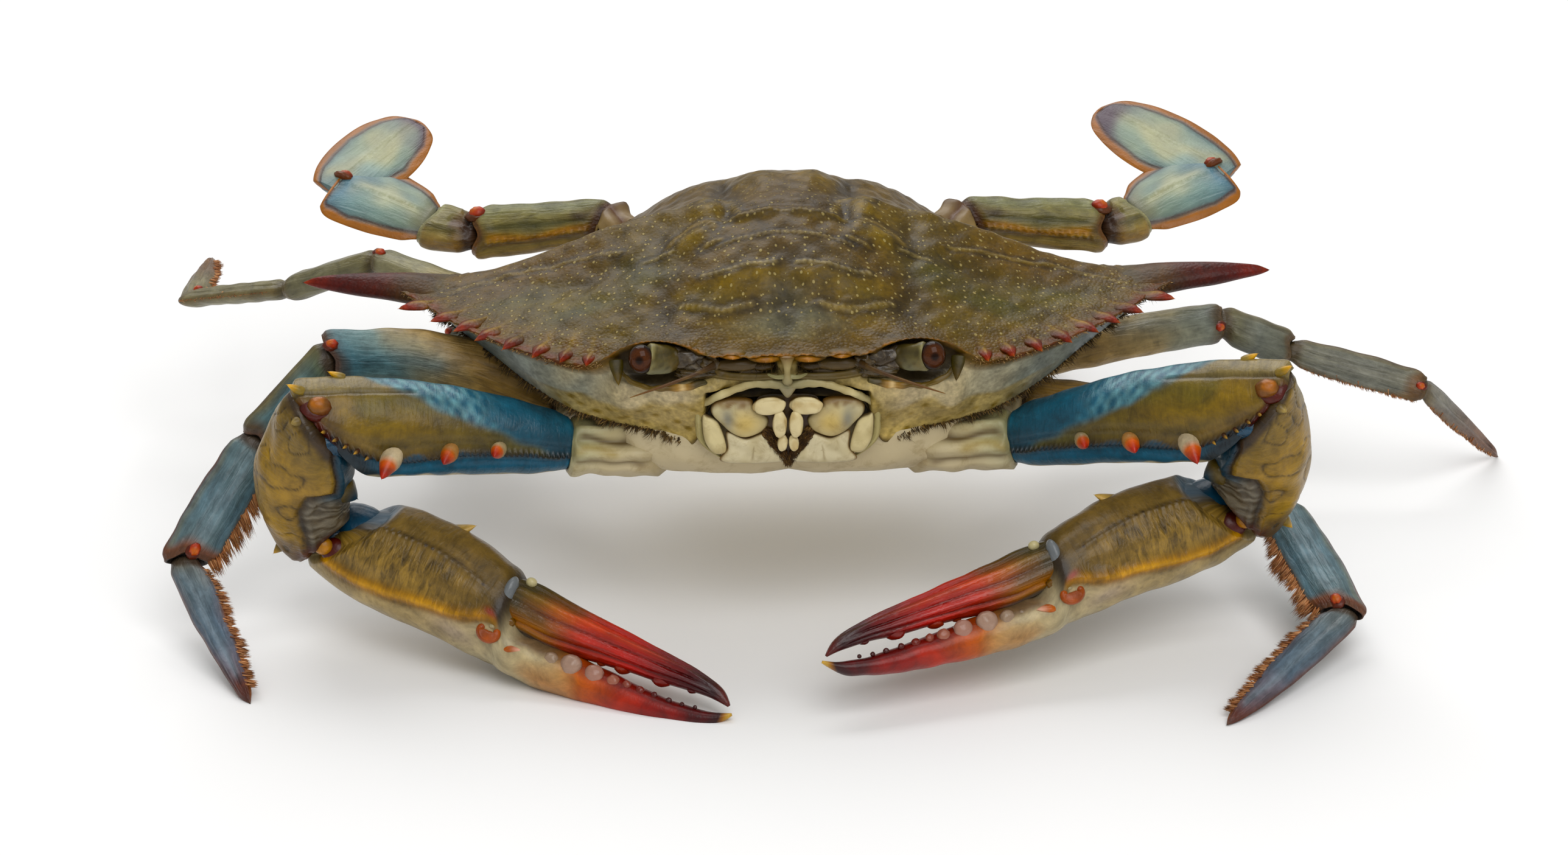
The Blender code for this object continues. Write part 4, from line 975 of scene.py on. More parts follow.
def build_eyes():
    """Eyes in their sockets, each held by a short cup-shaped stalk, with the soft skin behind it."""
    for side in (RIGHT, LEFT):
        name = SIDE_NAMES[side]
        eye = blob(mirrored(EYE_MIDDLE, side), (2.1, 2, 2.4), "#140803", 48, 32)
        front = unit(np.array([0.15 * side, -1, 0.3]))
        facing = unit(eye.lie) @ front
        eye.paint = blend(
            eye.paint,
            ("#4c260c", 0.95 * smooth(facing, 0.3, 0.8)),
            ("#0c0402", 0.9 * smooth(facing, 0.9, 0.99)),
        )
        make_piece(f"eye_ball_{name}", [eye], "cornea", [f"eye_{name}"])
        path = mirrored([(17.6, -31.2, 49.3), (19.8, -32.5, 49.5), (22.3, -33.2, 49.95)], side)
        stalk = limb(path, [(0, 1.6, 1.3), (0.3, 2.15, 1.6), (0.65, 2.35, 1.9), (0.88, 2.45, 2),
            (1, 2.1, 1.8)], (0, -1, 0.2), 50, 46, rough=0.16)
        raise_ridges(stalk, [(90, 200, 0.88, 1, 0.15), (60, 16, 0.2, 0.8, -0.25)])
        colour_limb(stalk, [(0, "#2e2611"), (0.4, "#4c4220"), (0.75, "#5f552c"), (0.93, "#847d54"),
            (1, "#57502f")], [(172, 50, 0.35, 1.2, "#85866a", 0.85), (58, 26, 0.3, 0.8, "#2f280f", 0.7)])
        mottle = np.clip(waves(stalk.points, 1.6, 17), 0, 1)
        stalk.paint = blend(stalk.paint, ("#30280f", 0.55 * mottle))
        make_piece(f"eye_stalk_{name}", [stalk], "under", [f"eyestalk_{name}"])
        soft = blob(mirrored((15.9, -31.3, 49.2), side), (3.3, 1.9, 1.95), "#3c3122", 44, 32, rough=0.2,
            seed=7)
        # Pale wavy spots on the soft skin are painted wet highlights.
        soft.paint = blend(soft.paint, ("#7a6d54", 0.5 * np.clip(waves(soft.points, 1.4, 18) - 0.2, 0, 1)))
        knob = blob(mirrored((12.2, -31.8, 48.5), side), (2, 1.3, 1.4), "#4a3a1c", 30, 20, rough=0.16,
            seed=8)
        lower = blob(mirrored((14.4, -31.8, 47), side), (3.6, 1.5, 1.2), "#403216", 30, 20, rough=0.16,
            seed=9)
        make_piece(f"antenna_base_{name}", [soft, knob, lower], "membrane")


# Lumps of the folded feelers on the left side: middle, half sizes, colour, seed
FEELER_LUMPS = [
    ((7.9, -32.2, 48.4), (3.6, 1.3, 1.1), "#4a3b20", 14),
    ((3.9, -32.2, 48.1), (1.9, 1, 0.8), "#37290f", 15),
    ((10.4, -31.6, 46.8), (1.6, 1.2, 0.9), "#4e4024", 16),
    ((5.8, -31.9, 47.2), (2.4, 1, 0.6), "#3a2d16", 19),
]


def build_feelers():
    """The two whiskers, and the small folded feelers in the hollows beside the snout."""
    draw = np.random.default_rng(76)
    for side in (RIGHT, LEFT):
        name = SIDE_NAMES[side]
        path = mirrored([(11.6, -33.2, 48.7), (14.4, -35.8, 48.4), (19.2, -37.2, 47.1), (24.8, -38.4, 45.6)],
            side)
        whisker = rod(path, [(0, 0.7), (0.15, 0.5), (0.35, 0.34), (0.7, 0.24), (1, 0.07)], "#3c2610", 12, 60,
            flat=0.6)
        whisker.paint = gradient([(0, "#33240e"), (0.4, "#422a10"), (0.8, "#5c3a14"), (1, "#74501f")],
            whisker.t)
        make_piece(f"whisker_{name}", [whisker], "under", [f"antenna_{name}"])
        parts = [blob(mirrored(middle, side), half, code, 36, 24, rough=0.04, seed=seed) for middle, half,
            code, seed in FEELER_LUMPS]
        fold = rod(mirrored([(12.6, -31.4, 47), (9.2, -32.4, 46.5), (5.4, -33, 46.5), (1.6, -33.4, 46.8)],
            side), [(0, 1), (0.3, 0.75), (0.7, 0.6), (1, 0.5)], "#5a4c2a", 14, 40)
        make_piece(f"small_feeler_{name}", parts + [fold], "under")
        count = 70
        root = np.stack([draw.uniform(1.3, 6.5, count) * side, np.full(count, -32.4),
            draw.uniform(47.4, 49.4, count)], -1)
        way = draw.normal(size=(count, 3)) * 0.6 + np.array([0, -0.6, -0.2])
        colours = gradient([(0, "#2a1c0c"), (1, "#7a6030")], draw.uniform(0, 1, count))
        uv = np.stack([0.5 + root[:, 0] * 0.05, (root[:, 2] - 45) / 6], -1)
        make_hair(f"small_feeler_hair_{name}", root, way, draw.uniform(0.8, 2.2, count), 0.06,
            colours, uv, 0.4, 81)


def plate(outline, y, bulge, code, rim_code, edge_code=None, steps=16, tilt=0, rough=0.12, seed=9):
    """A flat-topped plate seen from the front, from its outline as x and z points."""
    outline = np.array(outline, float)
    closed = np.vstack([outline[-1:], outline, outline[:2]])
    shell = net(fine(72), 2 * fine(steps))
    share = shell.angle / (2 * np.pi) * len(outline)
    first = share.astype(int) % len(outline)
    rim = between(*(closed[first + step] for step in range(4)), (share - np.floor(share))[:, None])
    middle = outline.mean(axis=0)
    level = shell.ring / (shell.rows + 1) * 2
    reach = np.sin(np.where(level <= 1, level, 2 - level) * np.pi / 2)
    flat = middle + (rim - middle) * reach[:, None]
    dome = np.sqrt(np.clip(1 - reach ** 4.5, 0, 1)) * bulge
    depth = np.where(level <= 1, -dome, dome * 0.6) + tilt * (flat[:, 1] - middle[1])
    points = np.stack([flat[:, 0], y + depth, flat[:, 1]], -1)
    points[:, 1] += waves(points, 3.5, seed) * rough * 2 * reach * (1 - reach)
    part = plain(points, shell.tris, shell.quads, code)
    part.paint = blend(
        part.paint,
        ("#8f7c48", 0.3 * np.clip(waves(points, 4, seed + 2), 0, 1)),
        (rim_code, smooth(reach, 0.9, 0.99) * 0.9),
    )
    if edge_code:
        part.paint = blend(part.paint,
            (edge_code, bell(reach, 0.6, 0.25) * (0.5 + 0.5 * waves(points, 5, seed + 1))))
    return part


MERUS_PLATE = [
    (12.9, 40.9), (11.7, 42.1), (8.8, 42.4), (6.5, 42), (6, 40.8), (4.5, 39.6), (3.7, 38.3), (4.7, 36.5),
    (7.5, 35.4), (9.8, 36.3), (11.4, 37.9), (12.8, 39.5),
]
ISCHIUM_PLATE = [
    (10.5, 36.4), (7.5, 35.2), (4.5, 36), (2.9, 33.8), (1, 31.9), (0.5, 31.1), (6.6, 30.7), (11.6, 31.2),
    (10.5, 33.5),
]
EXOPOD_PLATE = [
    (14.4, 39.3), (13.5, 39.2), (11.8, 38.1), (10.6, 34.3), (10.8, 32.6), (12.7, 32.6), (14.2, 35.2),
]

PALPS = [
    ((2.95, -32.9, 41.4), (2.6, 1, 1.45), 4),
    ((1.3, -33.2, 38.3), (1.12, 1, 2.3), 0),
    ((0.9, -32.9, 34.9), (0.8, 0.8, 1.4), -6),
]


def mouth_outline(outline, side):
    """A mouth plate's outline, drawn for the left side, on its own side and nearer to the middle line."""
    return [(max(x - 0.65, 0.12) * side, z) for x, z in outline]


def build_mouth():
    """The outer mouthparts, the pale frame above them and the snout between the small feelers."""
    for side in (RIGHT, LEFT):
        name = SIDE_NAMES[side]
        merus = plate(mouth_outline(MERUS_PLATE, side), -31.5, 1.3, "#c3b891", "#4c3516", "#a39a80",
            rough=0.3, seed=12)
        yellow = bell(np.abs(merus.points[:, 0]), 6.8, 2.6) * bell(merus.points[:, 2], 38.2, 2.4)
        grey = bell(np.abs(merus.points[:, 0]), 9.6, 1) * bell(merus.points[:, 2], 39, 1.9)
        top = smooth(merus.points[:, 2] + 0.4 * waves(merus.points, 2, 44), 40.6, 41.9)
        merus.paint = blend(
            merus.paint,
            ("#cbb06a", 0.85 * yellow),
            ("#77776c", 0.85 * grey),
            ("#6a481c", 0.75 * top),
        )
        ischium = plate(mouth_outline(ISCHIUM_PLATE, side), -31.3, 1.1, "#cdc2a0", "#6a4a20", rough=0.3,
            seed=13)
        crack = bell(np.abs(ischium.points[:, 0]) + 0.15 * ischium.points[:, 2], 10.6, 0.12)
        crack *= window(ischium.points[:, 2], 31.4, 34, 0.5)
        ischium.paint = blend(ischium.paint, ("#7a6438", 0.6 * crack))
        exopod = plate(mouth_outline(EXOPOD_PLATE, side), -31.2, 1.2, "#cfc194", "#4a3414", rough=0.25,
            seed=14)
        parts = [merus, ischium, exopod]
        for middle, half, lean in PALPS:
            turn = Matrix.Rotation(np.radians(lean * side), 3, "Y")
            palp = blob(mirrored(middle, side), half, "#d6c79c", 34, 24, turn=turn, rough=0.07, box=0.85)
            palp.paint = blend(
                palp.paint,
                ("#6c4c1e", smooth(palp.points[:, 1], middle[1] - 0.35, middle[1] + 0.2)),
                ("#b0935a", 0.5 * np.clip(waves(palp.points, 2.2, 45), 0, 1)),
            )
            parts.append(palp)
        rim = rod(mirrored([(14.2, -31.2, 41.2), (14.3, -30.8, 38), (13.8, -30.4, 34.6), (11, -30.4, 31.6)],
            side), [(0, 0.5), (0.3, 0.6), (0.8, 0.6), (1, 0.3)], "#a89c6c", 14, 50)
        parts.append(rim)
        make_piece(f"mouth_plates_{name}", parts, "under", [f"maxilliped_{name}"])
    frame_parts = []
    for side in (RIGHT, LEFT):
        arch = mirrored([(0, -33.2, 45.1), (2.9, -33.3, 45.4), (6, -33.1, 45.2), (8.8, -32.8, 44.1),
            (11.4, -32.3, 42.8), (14.2, -31.4, 40.9)], side)
        band = rod(arch, [(0, 0.85), (0.3, 0.64), (0.55, 0.6), (0.8, 0.62), (1, 0.5)], "#8f8a60", 18, 70,
            flat=0.8)
        band.points += (0.12 * waves(band.points, 2.2, 46))[:, None] * np.array([0, -0.4, 1])
        band.paint = gradient([(0, "#7e7858"), (0.4, "#a99c72"), (0.62, "#b0a173"), (0.72, "#cdc092"),
            (0.8, "#b0a57a"), (1, "#a1966c")], band.t)
        shelf = rod(mirrored([(27, -31, 47.8), (25.2, -32.2, 45.8), (22.2, -32.8, 44.8), (19, -32.9, 44.7),
            (16, -32.9, 44.9), (13, -32.8, 45.6)], side), [(0, 0.3), (0.3, 0.42), (0.7, 0.6), (0.8, 0.65),
            (1, 0.45)], "#6a5022", 14, 80)
        shelf.points += (0.15 * waves(shelf.points, 2.4, 47))[:, None] * np.array([0, -0.3, 1])
        shelf.paint = gradient([(0, "#4a3c1a"), (0.3, "#6e5a2c"), (0.6, "#5e4a24"), (0.7, "#a07c44"),
            (0.75, "#dcc08c"), (0.8, "#a07c44"), (0.88, "#4f4224"), (1, "#4a4428")], shelf.t)
        wing = mirrored([(0, -34, 47), (1.7, -33.9, 46.8), (3, -33.5, 47.1)], side)
        frame_parts += [band, shelf, rod(wing, [(0, 0.5), (0.5, 0.34), (1, 0.2)], "#8a845c", 14, 24)]
    drop = plate([(-2.4, 45.6), (0, 45.9), (2.4, 45.6), (1.4, 44.5), (0.5, 43.2), (0, 42.9), (-0.5, 43.2),
        (-1.4, 44.5)], -33, 0.8, "#8a8163", "#3f3a22", seed=15)
    snout = rod([(0, -34.2, 50.4), (0, -34.6, 48.6), (0, -34.2, 47), (0, -33.6, 45.6)],
        [(0, 1.3), (0.2, 0.8), (0.45, 0.5), (0.7, 0.65), (0.85, 0.85), (1, 0.5)], "#a09566", 18, 40)
    snout.paint = gradient([(0, "#6c5026"), (0.3, "#a09266"), (0.7, "#958a64"), (1, "#7d7456")], snout.t)
    # The throat is a dark sheet behind the mouth plates: painted shade in the cleft between them.
    throat = plate([(-4.8, 42.2), (0, 42.8), (4.8, 42.2), (3.9, 38), (2.4, 34), (0, 31.2), (-2.4, 34),
        (-3.9, 38)], -31.4, 0.3, "#3a240e", "#1c1006", seed=16)
    make_piece("mouth_frame", frame_parts + [drop, snout, throat], "under")


THORAX_MIDDLE = (0, 1, 34)
THORAX_HALF = (34.5, 30, 10.2)
STERNUM_GROOVES = [-19, -10, -1, 8, 17, 26]


def build_thorax(coxae):
    """The breast under the shield, grooved between the leg roots, with the roots of the legs."""
    body = blob(THORAX_MIDDLE, THORAX_HALF, "#c8ba98", 220, 110, box=0.55)
    points = body.points
    across = np.abs(points[:, 0])
    below = smooth(-points[:, 2], -31, -24.5)
    for place in STERNUM_GROOVES:
        groove = bell(points[:, 1] + 0.12 * across, place, 0.7) * smooth(across, 5, 9)
        points[:, 2] += 0.8 * groove * below
        body.paint = blend(body.paint, ("#7d6a42", 0.7 * groove))
    keel = bell(points[:, 0], 0, 0.8) * below
    points[:, 2] += 0.8 * keel
    body.paint = blend(
        body.paint,
        ("#7d6a42", 0.6 * keel),
        # Painted shade on the top of the breast, where it runs in under the shield.
        ("#3a2d1c", 0.9 * smooth(points[:, 2], 35.5, 38.5)),
    )
    points += unit(points - np.array(THORAX_MIDDLE)) * (0.15 * waves(points, 6, 17))[:, None]
    make_piece("breast", [body] + coxae, "under", ["thorax"])


ABDOMEN_PATH = [
    (0, 33, 42), (0, 36.6, 38.5), (0, 35.6, 32), (0, 29.5, 26.2), (0, 18, 23.6), (0, 2, 23), (0, -13, 24.2),
]
ABDOMEN_SECTIONS = [
    (0, 12, 1.4), (0.2, 17, 1.6), (0.45, 21.4, 1.6), (0.7, 20.3, 1.5), (0.88, 12.8, 1.4), (1, 2.6, 0.7),
]
ABDOMEN_JOINTS = [0.1, 0.22, 0.36, 0.52, 0.7, 0.88]


def build_abdomen():
    """The broad rounded apron of an adult female, folded under the body, with its seams."""
    skin = limb(ABDOMEN_PATH, ABDOMEN_SECTIONS, (0, 0, -1), 72, 150, top=(1, 0, 0), edge=1.3)
    paint = flat_paint(skin.points, "#b5a57c")
    paint = blend(paint, ("#8a7a58", smooth(np.abs(skin.lie[:, 1]), 12, 21) * 0.5))
    for place in ABDOMEN_JOINTS:
        seam = bell(skin.t, place + 0.012 * np.cos(np.radians(skin.degrees) * 2), 0.006)
        skin.points -= skin.outward * (0.5 * seam)[:, None]
        paint = blend(
            paint,
            ("#6a5230", 0.8 * seam),
            ("#c8ba94", 0.5 * bell(skin.t, place + 0.03, 0.012)),
        )
    skin.paint = paint
    skin.marks = flat_marks(paint)
    make_piece("apron", [skin], "under", ["abdomen"])


def joint_plane(joints, index):
    """The plane that parts a limb at a joint, half way between its two stretches. The root has no stretch
    before it, so the way from the limb's far end takes its place."""
    joints = np.array(joints, float)
    inward = unit(joints[index] - joints[index - 1])
    return joints[index], unit(inward + unit(joints[index + 1] - joints[index]))


def stretch(joints, index, sections, face, overrun, bend=(0, 0, 0), **shape):
    """Skin of a limb between two of its joints: carried past both, then cut by their planes."""
    start, end = np.array(joints[index], float), np.array(joints[index + 1], float)
    past = unit(end - start) * overrun
    at_tip = index + 2 == len(joints)
    path = [start - past, (start + end) / 2 + np.array(bend), end if at_tip else end + past]
    cuts = (joint_plane(joints, index), None if at_tip else joint_plane(joints, index + 1))
    return limb(path, sections, face, cuts=cuts, **shape)


def scaled(sections, scale):
    """Sections with their sizes multiplied and their places kept."""
    return [(row[0], *(value * scale for value in row[1:])) for row in sections]


# Walking legs: root inside the body, start of the leg, knees, and foot
LEG_JOINTS = {
    ("leg2", RIGHT): [(-26, -9, 33), (-38.5, -12, 33.6), (-75, -12, 41.8), (-87.4, -16, 28.6),
        (-98.8, -28.5, 12.8), (-86.3, -54, 0.1)],
    ("leg2", LEFT): [(26, -9, 33), (38.5, -12, 32.6), (77.5, -8, 26), (81.4, -14, 13.8), (89.2, -41, 6.8),
        (68.3, -66, 0.3)],
    ("leg3", RIGHT): [(-28, 2, 32), (-39, 5, 31.2), (-57, 34, 26.5), (-56, 47, 18), (-53, 63, 7),
        (-47, 82, 0)],
    ("leg3", LEFT): [(28, 2, 33), (40, 4, 33), (74.4, 20, 32.6), (86.8, 21, 26.8), (109.4, 18, 20.8),
        (125.8, 35, -0.1)],
    ("leg4", RIGHT): [(-26, 14, 33), (-38, 18, 34), (-70.5, 32, 41.2), (-86.8, 38, 33.9), (-105.2, 48, 28.3),
        (-104.6, 72, 26.4)],
    ("leg4", LEFT): [(26, 14, 33), (37, 18, 33), (50.5, 40, 32.6), (53, 54, 26), (52, 67, 13),
        (46, 80, -0.1)],
}
LEG_FACES = {
    ("leg2", RIGHT): (0, -1, 0.35), ("leg2", LEFT): (0, -0.6, 0.8), ("leg3", RIGHT): (-0.6, 0, 1),
    ("leg3", LEFT): (0, -0.7, 0.7), ("leg4", RIGHT): (0, 0.25, 1), ("leg4", LEFT): (1, 0, 0.3),
}
LEG_SCALE = {"leg2": (0.9, 0.84, 1, 1), "leg3": (0.76, 0.82, 0.7, 0.78), "leg4": (0.82, 0.82, 0.82, 0.82)}
COXA_SCALE = {"leg2": 1, "leg3": 0.86, "leg4": 0.82}
MERUS_ARCH = {("leg2", RIGHT): (0, 0, 3.6), ("leg3", LEFT): (0, 0, 0.6)}
COXA_SECTIONS = [(0, 5, 5), (0.6, 5.4, 5), (1, 4.6, 4.2)]
# Each kind of stretch: sections, ridges, colours along it and patches of colour round it
LEG_STRETCHES = {
    "merus": ([(0, 4.2, 3.6), (0.15, 4.7, 3.6), (0.6, 4.9, 3.4), (0.9, 4.4, 3), (1, 4.1, 3)],
        [(0, 14, 0.05, 0.95, 0.25), (60, 10, 0.1, 0.9, -0.2), (150, 14, 0.3, 0.95, 0.2)],
        [(0, "#a27c42"), (0.35, "#ac8852"), (0.58, "#9c8c66"), (0.74, "#6f8682"), (0.92, "#4e7682"),
        (1, "#4a3c30")], [(14, 24, 0, 0.94, "#5c5534", 0.6), (180, 50, 0, 0.7, "#b4915a", 0.75),
        (75, 30, 0.45, 0.95, "#3f6878", 0.6), (150, 24, 0.7, 0.96, "#7d9494", 0.4),
        (0, 9, 0, 1, "#443016", 0.7), (100, 60, 0.94, 1, "#43251a", 0.8)]),
    "carpus": ([(0, 3.3, 2.8), (0.3, 3.9, 2.8), (0.7, 4, 2.8), (1, 3.5, 2.4)],
        [(0, 15, 0.05, 0.95, 0.3), (50, 9, 0.1, 0.9, -0.3), (125, 12, 0.1, 0.9, 0.2),
        (75, 9, 0.1, 0.95, 0.2)], [(0, "#3f3424"), (0.12, "#55604e"), (0.5, "#4a6c78"), (0.85, "#48646a"),
        (1, "#4a3a2a")], [(12, 34, 0, 1, "#66592f", 0.9), (0, 9, 0, 1, "#4a3418", 0.8),
        (180, 26, 0.1, 0.9, "#355a68", 0.7)]),
    # On the propodus and the dactyl, the pale blue-grey patch at 90 degrees is a painted highlight band.
    "propodus": ([(0, 2.6, 1.9), (0.15, 3.4, 2.1), (0.4, 4.1, 2.1), (0.8, 3.9, 1.9), (1, 3.1, 1.7)],
        [(0, 10, 0, 0.97, 0.25), (90, 8, 0.08, 0.88, -0.35), (72, 7, 0.08, 0.88, 0.18),
        (108, 7, 0.08, 0.88, 0.18), (140, 8, 0.05, 0.9, -0.25), (40, 8, 0.05, 0.9, -0.22)],
        [(0, "#4c4f48"), (0.12, "#53676c"), (0.5, "#5a7480"), (0.84, "#52666c"), (0.93, "#6c4430"),
        (1, "#4a2a1e")], [(90, 16, 0.1, 0.86, "#8296a0", 0.5), (0, 19, 0, 1, "#5c3220", 0.9),
        (28, 9, 0.05, 0.9, "#6a6a58", 0.6), (180, 22, 0, 1, "#6a4426", 0.85),
        (140, 16, 0.1, 0.88, "#4c6a7a", 0.6), (90, 70, 0.92, 1, "#6a2c1c", 0.6)]),
    "dactyl": ([(0, 2.5, 1.5), (0.25, 2.9, 1.5), (0.6, 2.2, 1.25), (0.88, 1, 0.8), (1, 0.12, 0.12)],
        [(90, 9, 0.05, 0.85, -0.3), (65, 8, 0.05, 0.9, 0.2), (115, 8, 0.05, 0.9, 0.2), (0, 9, 0, 0.95, 0.15),
        (180, 9, 0, 0.95, 0.15), (38, 8, 0.05, 0.85, -0.2)],
        [(0, "#5c584c"), (0.12, "#566670"), (0.5, "#546678"), (0.72, "#655058"), (0.88, "#5c2e26"),
        (1, "#46201a")], [(90, 18, 0.1, 0.75, "#8494a0", 0.5), (0, 26, 0, 1, "#5c2c1e", 0.92),
        (180, 28, 0, 1, "#74401f", 0.9), (140, 14, 0.1, 0.8, "#54586a", 0.6)]),
}
LEG_TOPS = {"leg2": (1, 0, 0), "leg3": (0, 0.3, 1), "leg4": (0, 1, 0.2)}
# Tint over a leg's colours and how strong it is: the hinder legs are olive and tan, the first ones blue
LEG_TINTS = {"leg2": ("#5f6a5c", 0.12), "leg3": ("#726444", 0.58), "leg4": ("#7c7048", 0.78)}
# Angle of the red hinge knob on the far end of a stretch
KNOB = {"merus": 118, "propodus": 96}


def skin_spot(skin, degrees, places, place, degree_step, place_step):
    """Number of the skin's point nearest to an angle and a place, by how much a step in each counts."""
    away = np.abs(turn_from(skin.degrees, degrees)) / degree_step + np.abs(places - place) / place_step
    return np.argmin(away + 100 * ~skin.in_body)


def limb_way(skin):
    """The way a stretch runs, from its root to its far end."""
    return unit(skin.middle[np.argmax(skin.place)] - skin.middle[np.argmin(skin.place)])


def knob_on(skin, degrees, radius, code, lift=0.2, place=0.96, rim=None):
    """A glossy hinge knob on a limb's skin, at an angle near its far end, in a low collar of shell."""
    spot = skin_spot(skin, degrees, skin.t, place, 18, 0.02)
    point, out, along = skin.points[spot], skin.outward[spot], limb_way(skin)
    side = unit(np.cross(out, along))
    turn = np.stack([side, np.cross(out, side), out], -1)
    size = np.array([0.9, 1.1, 0.85]) * radius
    knob = blob(point + out * radius * (lift - 0.3), size, code, 24, 16, turn=turn, rough=0.05,
        seed=int(degrees))
    # Painted highlight on the side of the knob that faces out and along the limb, painted shade on the side
    # away from it.
    toward = unit(knob.lie) @ unit(out + along * 0.5)
    knob.paint = blend(
        knob.paint,
        ("#cc7c3a", 0.5 * smooth(toward, 0.55, 0.98)),
        ("#4a140c", 0.6 * fall(toward, -0.2, 0.45)),
    )
    if not rim:
        return [knob]
    foot = point - out * radius * 0.45 + along * radius * 0.25
    return [knob, blob(foot, size * (1.4, 1.35, 0.75), rim, 24, 14, turn=turn, rough=0.08, seed=7)]


def build_legs():
    """Six walking legs; their coxae are given back, to go with the breast."""
    coxae = []
    for number, ((leg, side), joints) in enumerate(LEG_JOINTS.items()):
        face = LEG_FACES[leg, side]
        top = np.array(LEG_TOPS[leg]) * (side if leg == "leg2" else 1)
        coxa = stretch(joints, 0, scaled(COXA_SECTIONS, COXA_SCALE[leg]), face, 2, columns=48, rows=30,
            rough=0.25, seed=30 + number)
        raise_ridges(coxa, [(60, 14, 0.3, 0.95, 0.5), (120, 14, 0.3, 0.95, 0.5), (90, 10, 0.3, 0.95, -0.5)])
        colour_limb(coxa, [(0, "#8a7a5c"), (0.5, "#c0b190"), (0.85, "#bfae86"), (1, "#7a6640")],
            [(90, 14, 0.3, 0.95, "#8a6a3c", 0.7), (0, 50, 0, 1, "#8a7a50", 0.6)])
        coxae.append(coxa)
        for index, (name, scale) in enumerate(zip(LEG_STRETCHES, LEG_SCALE[leg]), start=1):
            sections, ridges, stops, patches = LEG_STRETCHES[name]
            bend = MERUS_ARCH.get((leg, side), (0, 0, 0)) if index == 1 else (0, 0, 0)
            bays = [(80, 26, 1.1 * scale), (-80, 26, 1.1 * scale)] if name != "dactyl" else []
            skin = stretch(joints, index, scaled(sections, scale), face, 3, bend, columns=64, rows=100,
                top=top, seed=50 + number * 5 + index, neck=0.8, lip=1.05, notches=bays)
            raise_ridges(skin, ridges)
            colour_limb(skin, stops, patches, neck="#3c2c20", rim="#5a3826")
            tint, strength = LEG_TINTS[leg]
            bright = (skin.paint.mean(axis=1) / linear(tint).mean())[:, None]
            skin.paint = skin.paint * (1 - strength) + linear(tint) * bright ** 0.6 * strength
            if name == "dactyl" and leg != "leg2":
                skin.paint = blend(skin.paint, ("#6c4430", 0.6 * smooth(skin.t, 0.15, 0.6)))
            # What would sink into the floor is flattened, before the fringe is set on it
            skin.points[:, 2] = np.maximum(skin.points[:, 2], 0)
            parts = [skin]
            if name in KNOB:
                parts += knob_on(skin, KNOB[name], 1.05 * scale, "#a8381c", rim="#55261a")
            make_shell(f"{leg}_{SIDE_NAMES[side]}_{name}", parts, "leg")
            if name in ("propodus", "dactyl"):
                build_leg_fringe(leg, side, name, skin)
    return coxae


# Fringe of a stretch: hairs a millimetre, width of a lock, length, start, end, tilt towards the tip
FRINGES = {
    ("leg2", "propodus"): (34, 3, 4.6, 0.16, 0.99, 0.95),
    ("leg2", "dactyl"): (32, 2.2, 2.4, 0.03, 0.84, 1.3),
    ("leg3", "propodus"): (12, 1.1, 1, 0.05, 0.95, 1.3),
    ("leg3", "dactyl"): (12, 1, 0.7, 0.05, 0.85, 1.4),
    ("leg4", "propodus"): (10, 1, 0.6, 0.1, 0.95, 1.3),
    ("leg4", "dactyl"): (14, 1.3, 1.7, 0.05, 0.85, 1),
}


def build_leg_fringe(leg, side, name, skin):
    """Stiff orange-brown hairs that run together into flat pointed locks along the edge of a stretch."""
    density, width, length, start, end, tilt = FRINGES[leg, name]
    draw = np.random.default_rng(len(leg) * 100 + side * 7 + len(name))
    edge = skin.in_body & (np.abs(turn_from(skin.degrees, 180)) < 4)
    order = np.argsort(skin.t[edge])
    t, points = skin.t[edge][order], skin.points[edge][order]
    outward, middle = skin.outward[edge][order], skin.middle[edge][order]
    span = np.linalg.norm(points[-1] - points[0]) * (end - start)
    place = np.sort(draw.uniform(start, end, int(span * density)))

    def read(values, where):
        return np.stack([np.interp(where, t, values[:, axis]) for axis in range(3)], -1)

    def directions(where):
        out = unit(read(outward, where))
        along = unit(read(np.gradient(middle, axis=0), where))
        return out, along, np.cross(along, out)

    out, along, through = directions(place)
    root = read(points, place) - out * 0.6 + through * draw.normal(size=(len(place), 1)) * 0.3
    share = (place - start) / (end - start)
    lock = np.floor(share * span / width)
    heart = start + (lock + 0.5) * width / span * (end - start)
    size = length * (0.7 + 0.3 * np.sin(lock * 2.4) ** 2) * window(share, -0.05, 1.1, 0.3)
    heart_out, heart_along, heart_through = directions(heart)
    reach = unit(heart_out + heart_along * tilt + heart_through * 0.12 * np.sin(lock * 4.1)[:, None])
    foot = read(points, heart) * 0.35 + read(points, place) * 0.65
    tip = foot + reach * (size * draw.uniform(0.6, 1, len(place)))[:, None]
    way = tip - root + draw.normal(size=(len(place), 3)) * 0.05 * length
    colours = gradient([(0, "#784220"), (0.5, "#b0703c"), (1, "#d6a06c")], draw.uniform(0, 1, len(place)))
    colours = colours * (0.75 + 0.25 * np.modf(lock * 0.37)[0])[:, None]
    uv = np.stack([0.02 + 0.96 * place, np.full(len(place), 0.5)], -1)
    make_hair(f"{leg}_{SIDE_NAMES[side]}_{name}_fringe", root, way, np.linalg.norm(way, axis=1),
        0.14, colours, uv, 0.06, int(draw.integers(1000)))


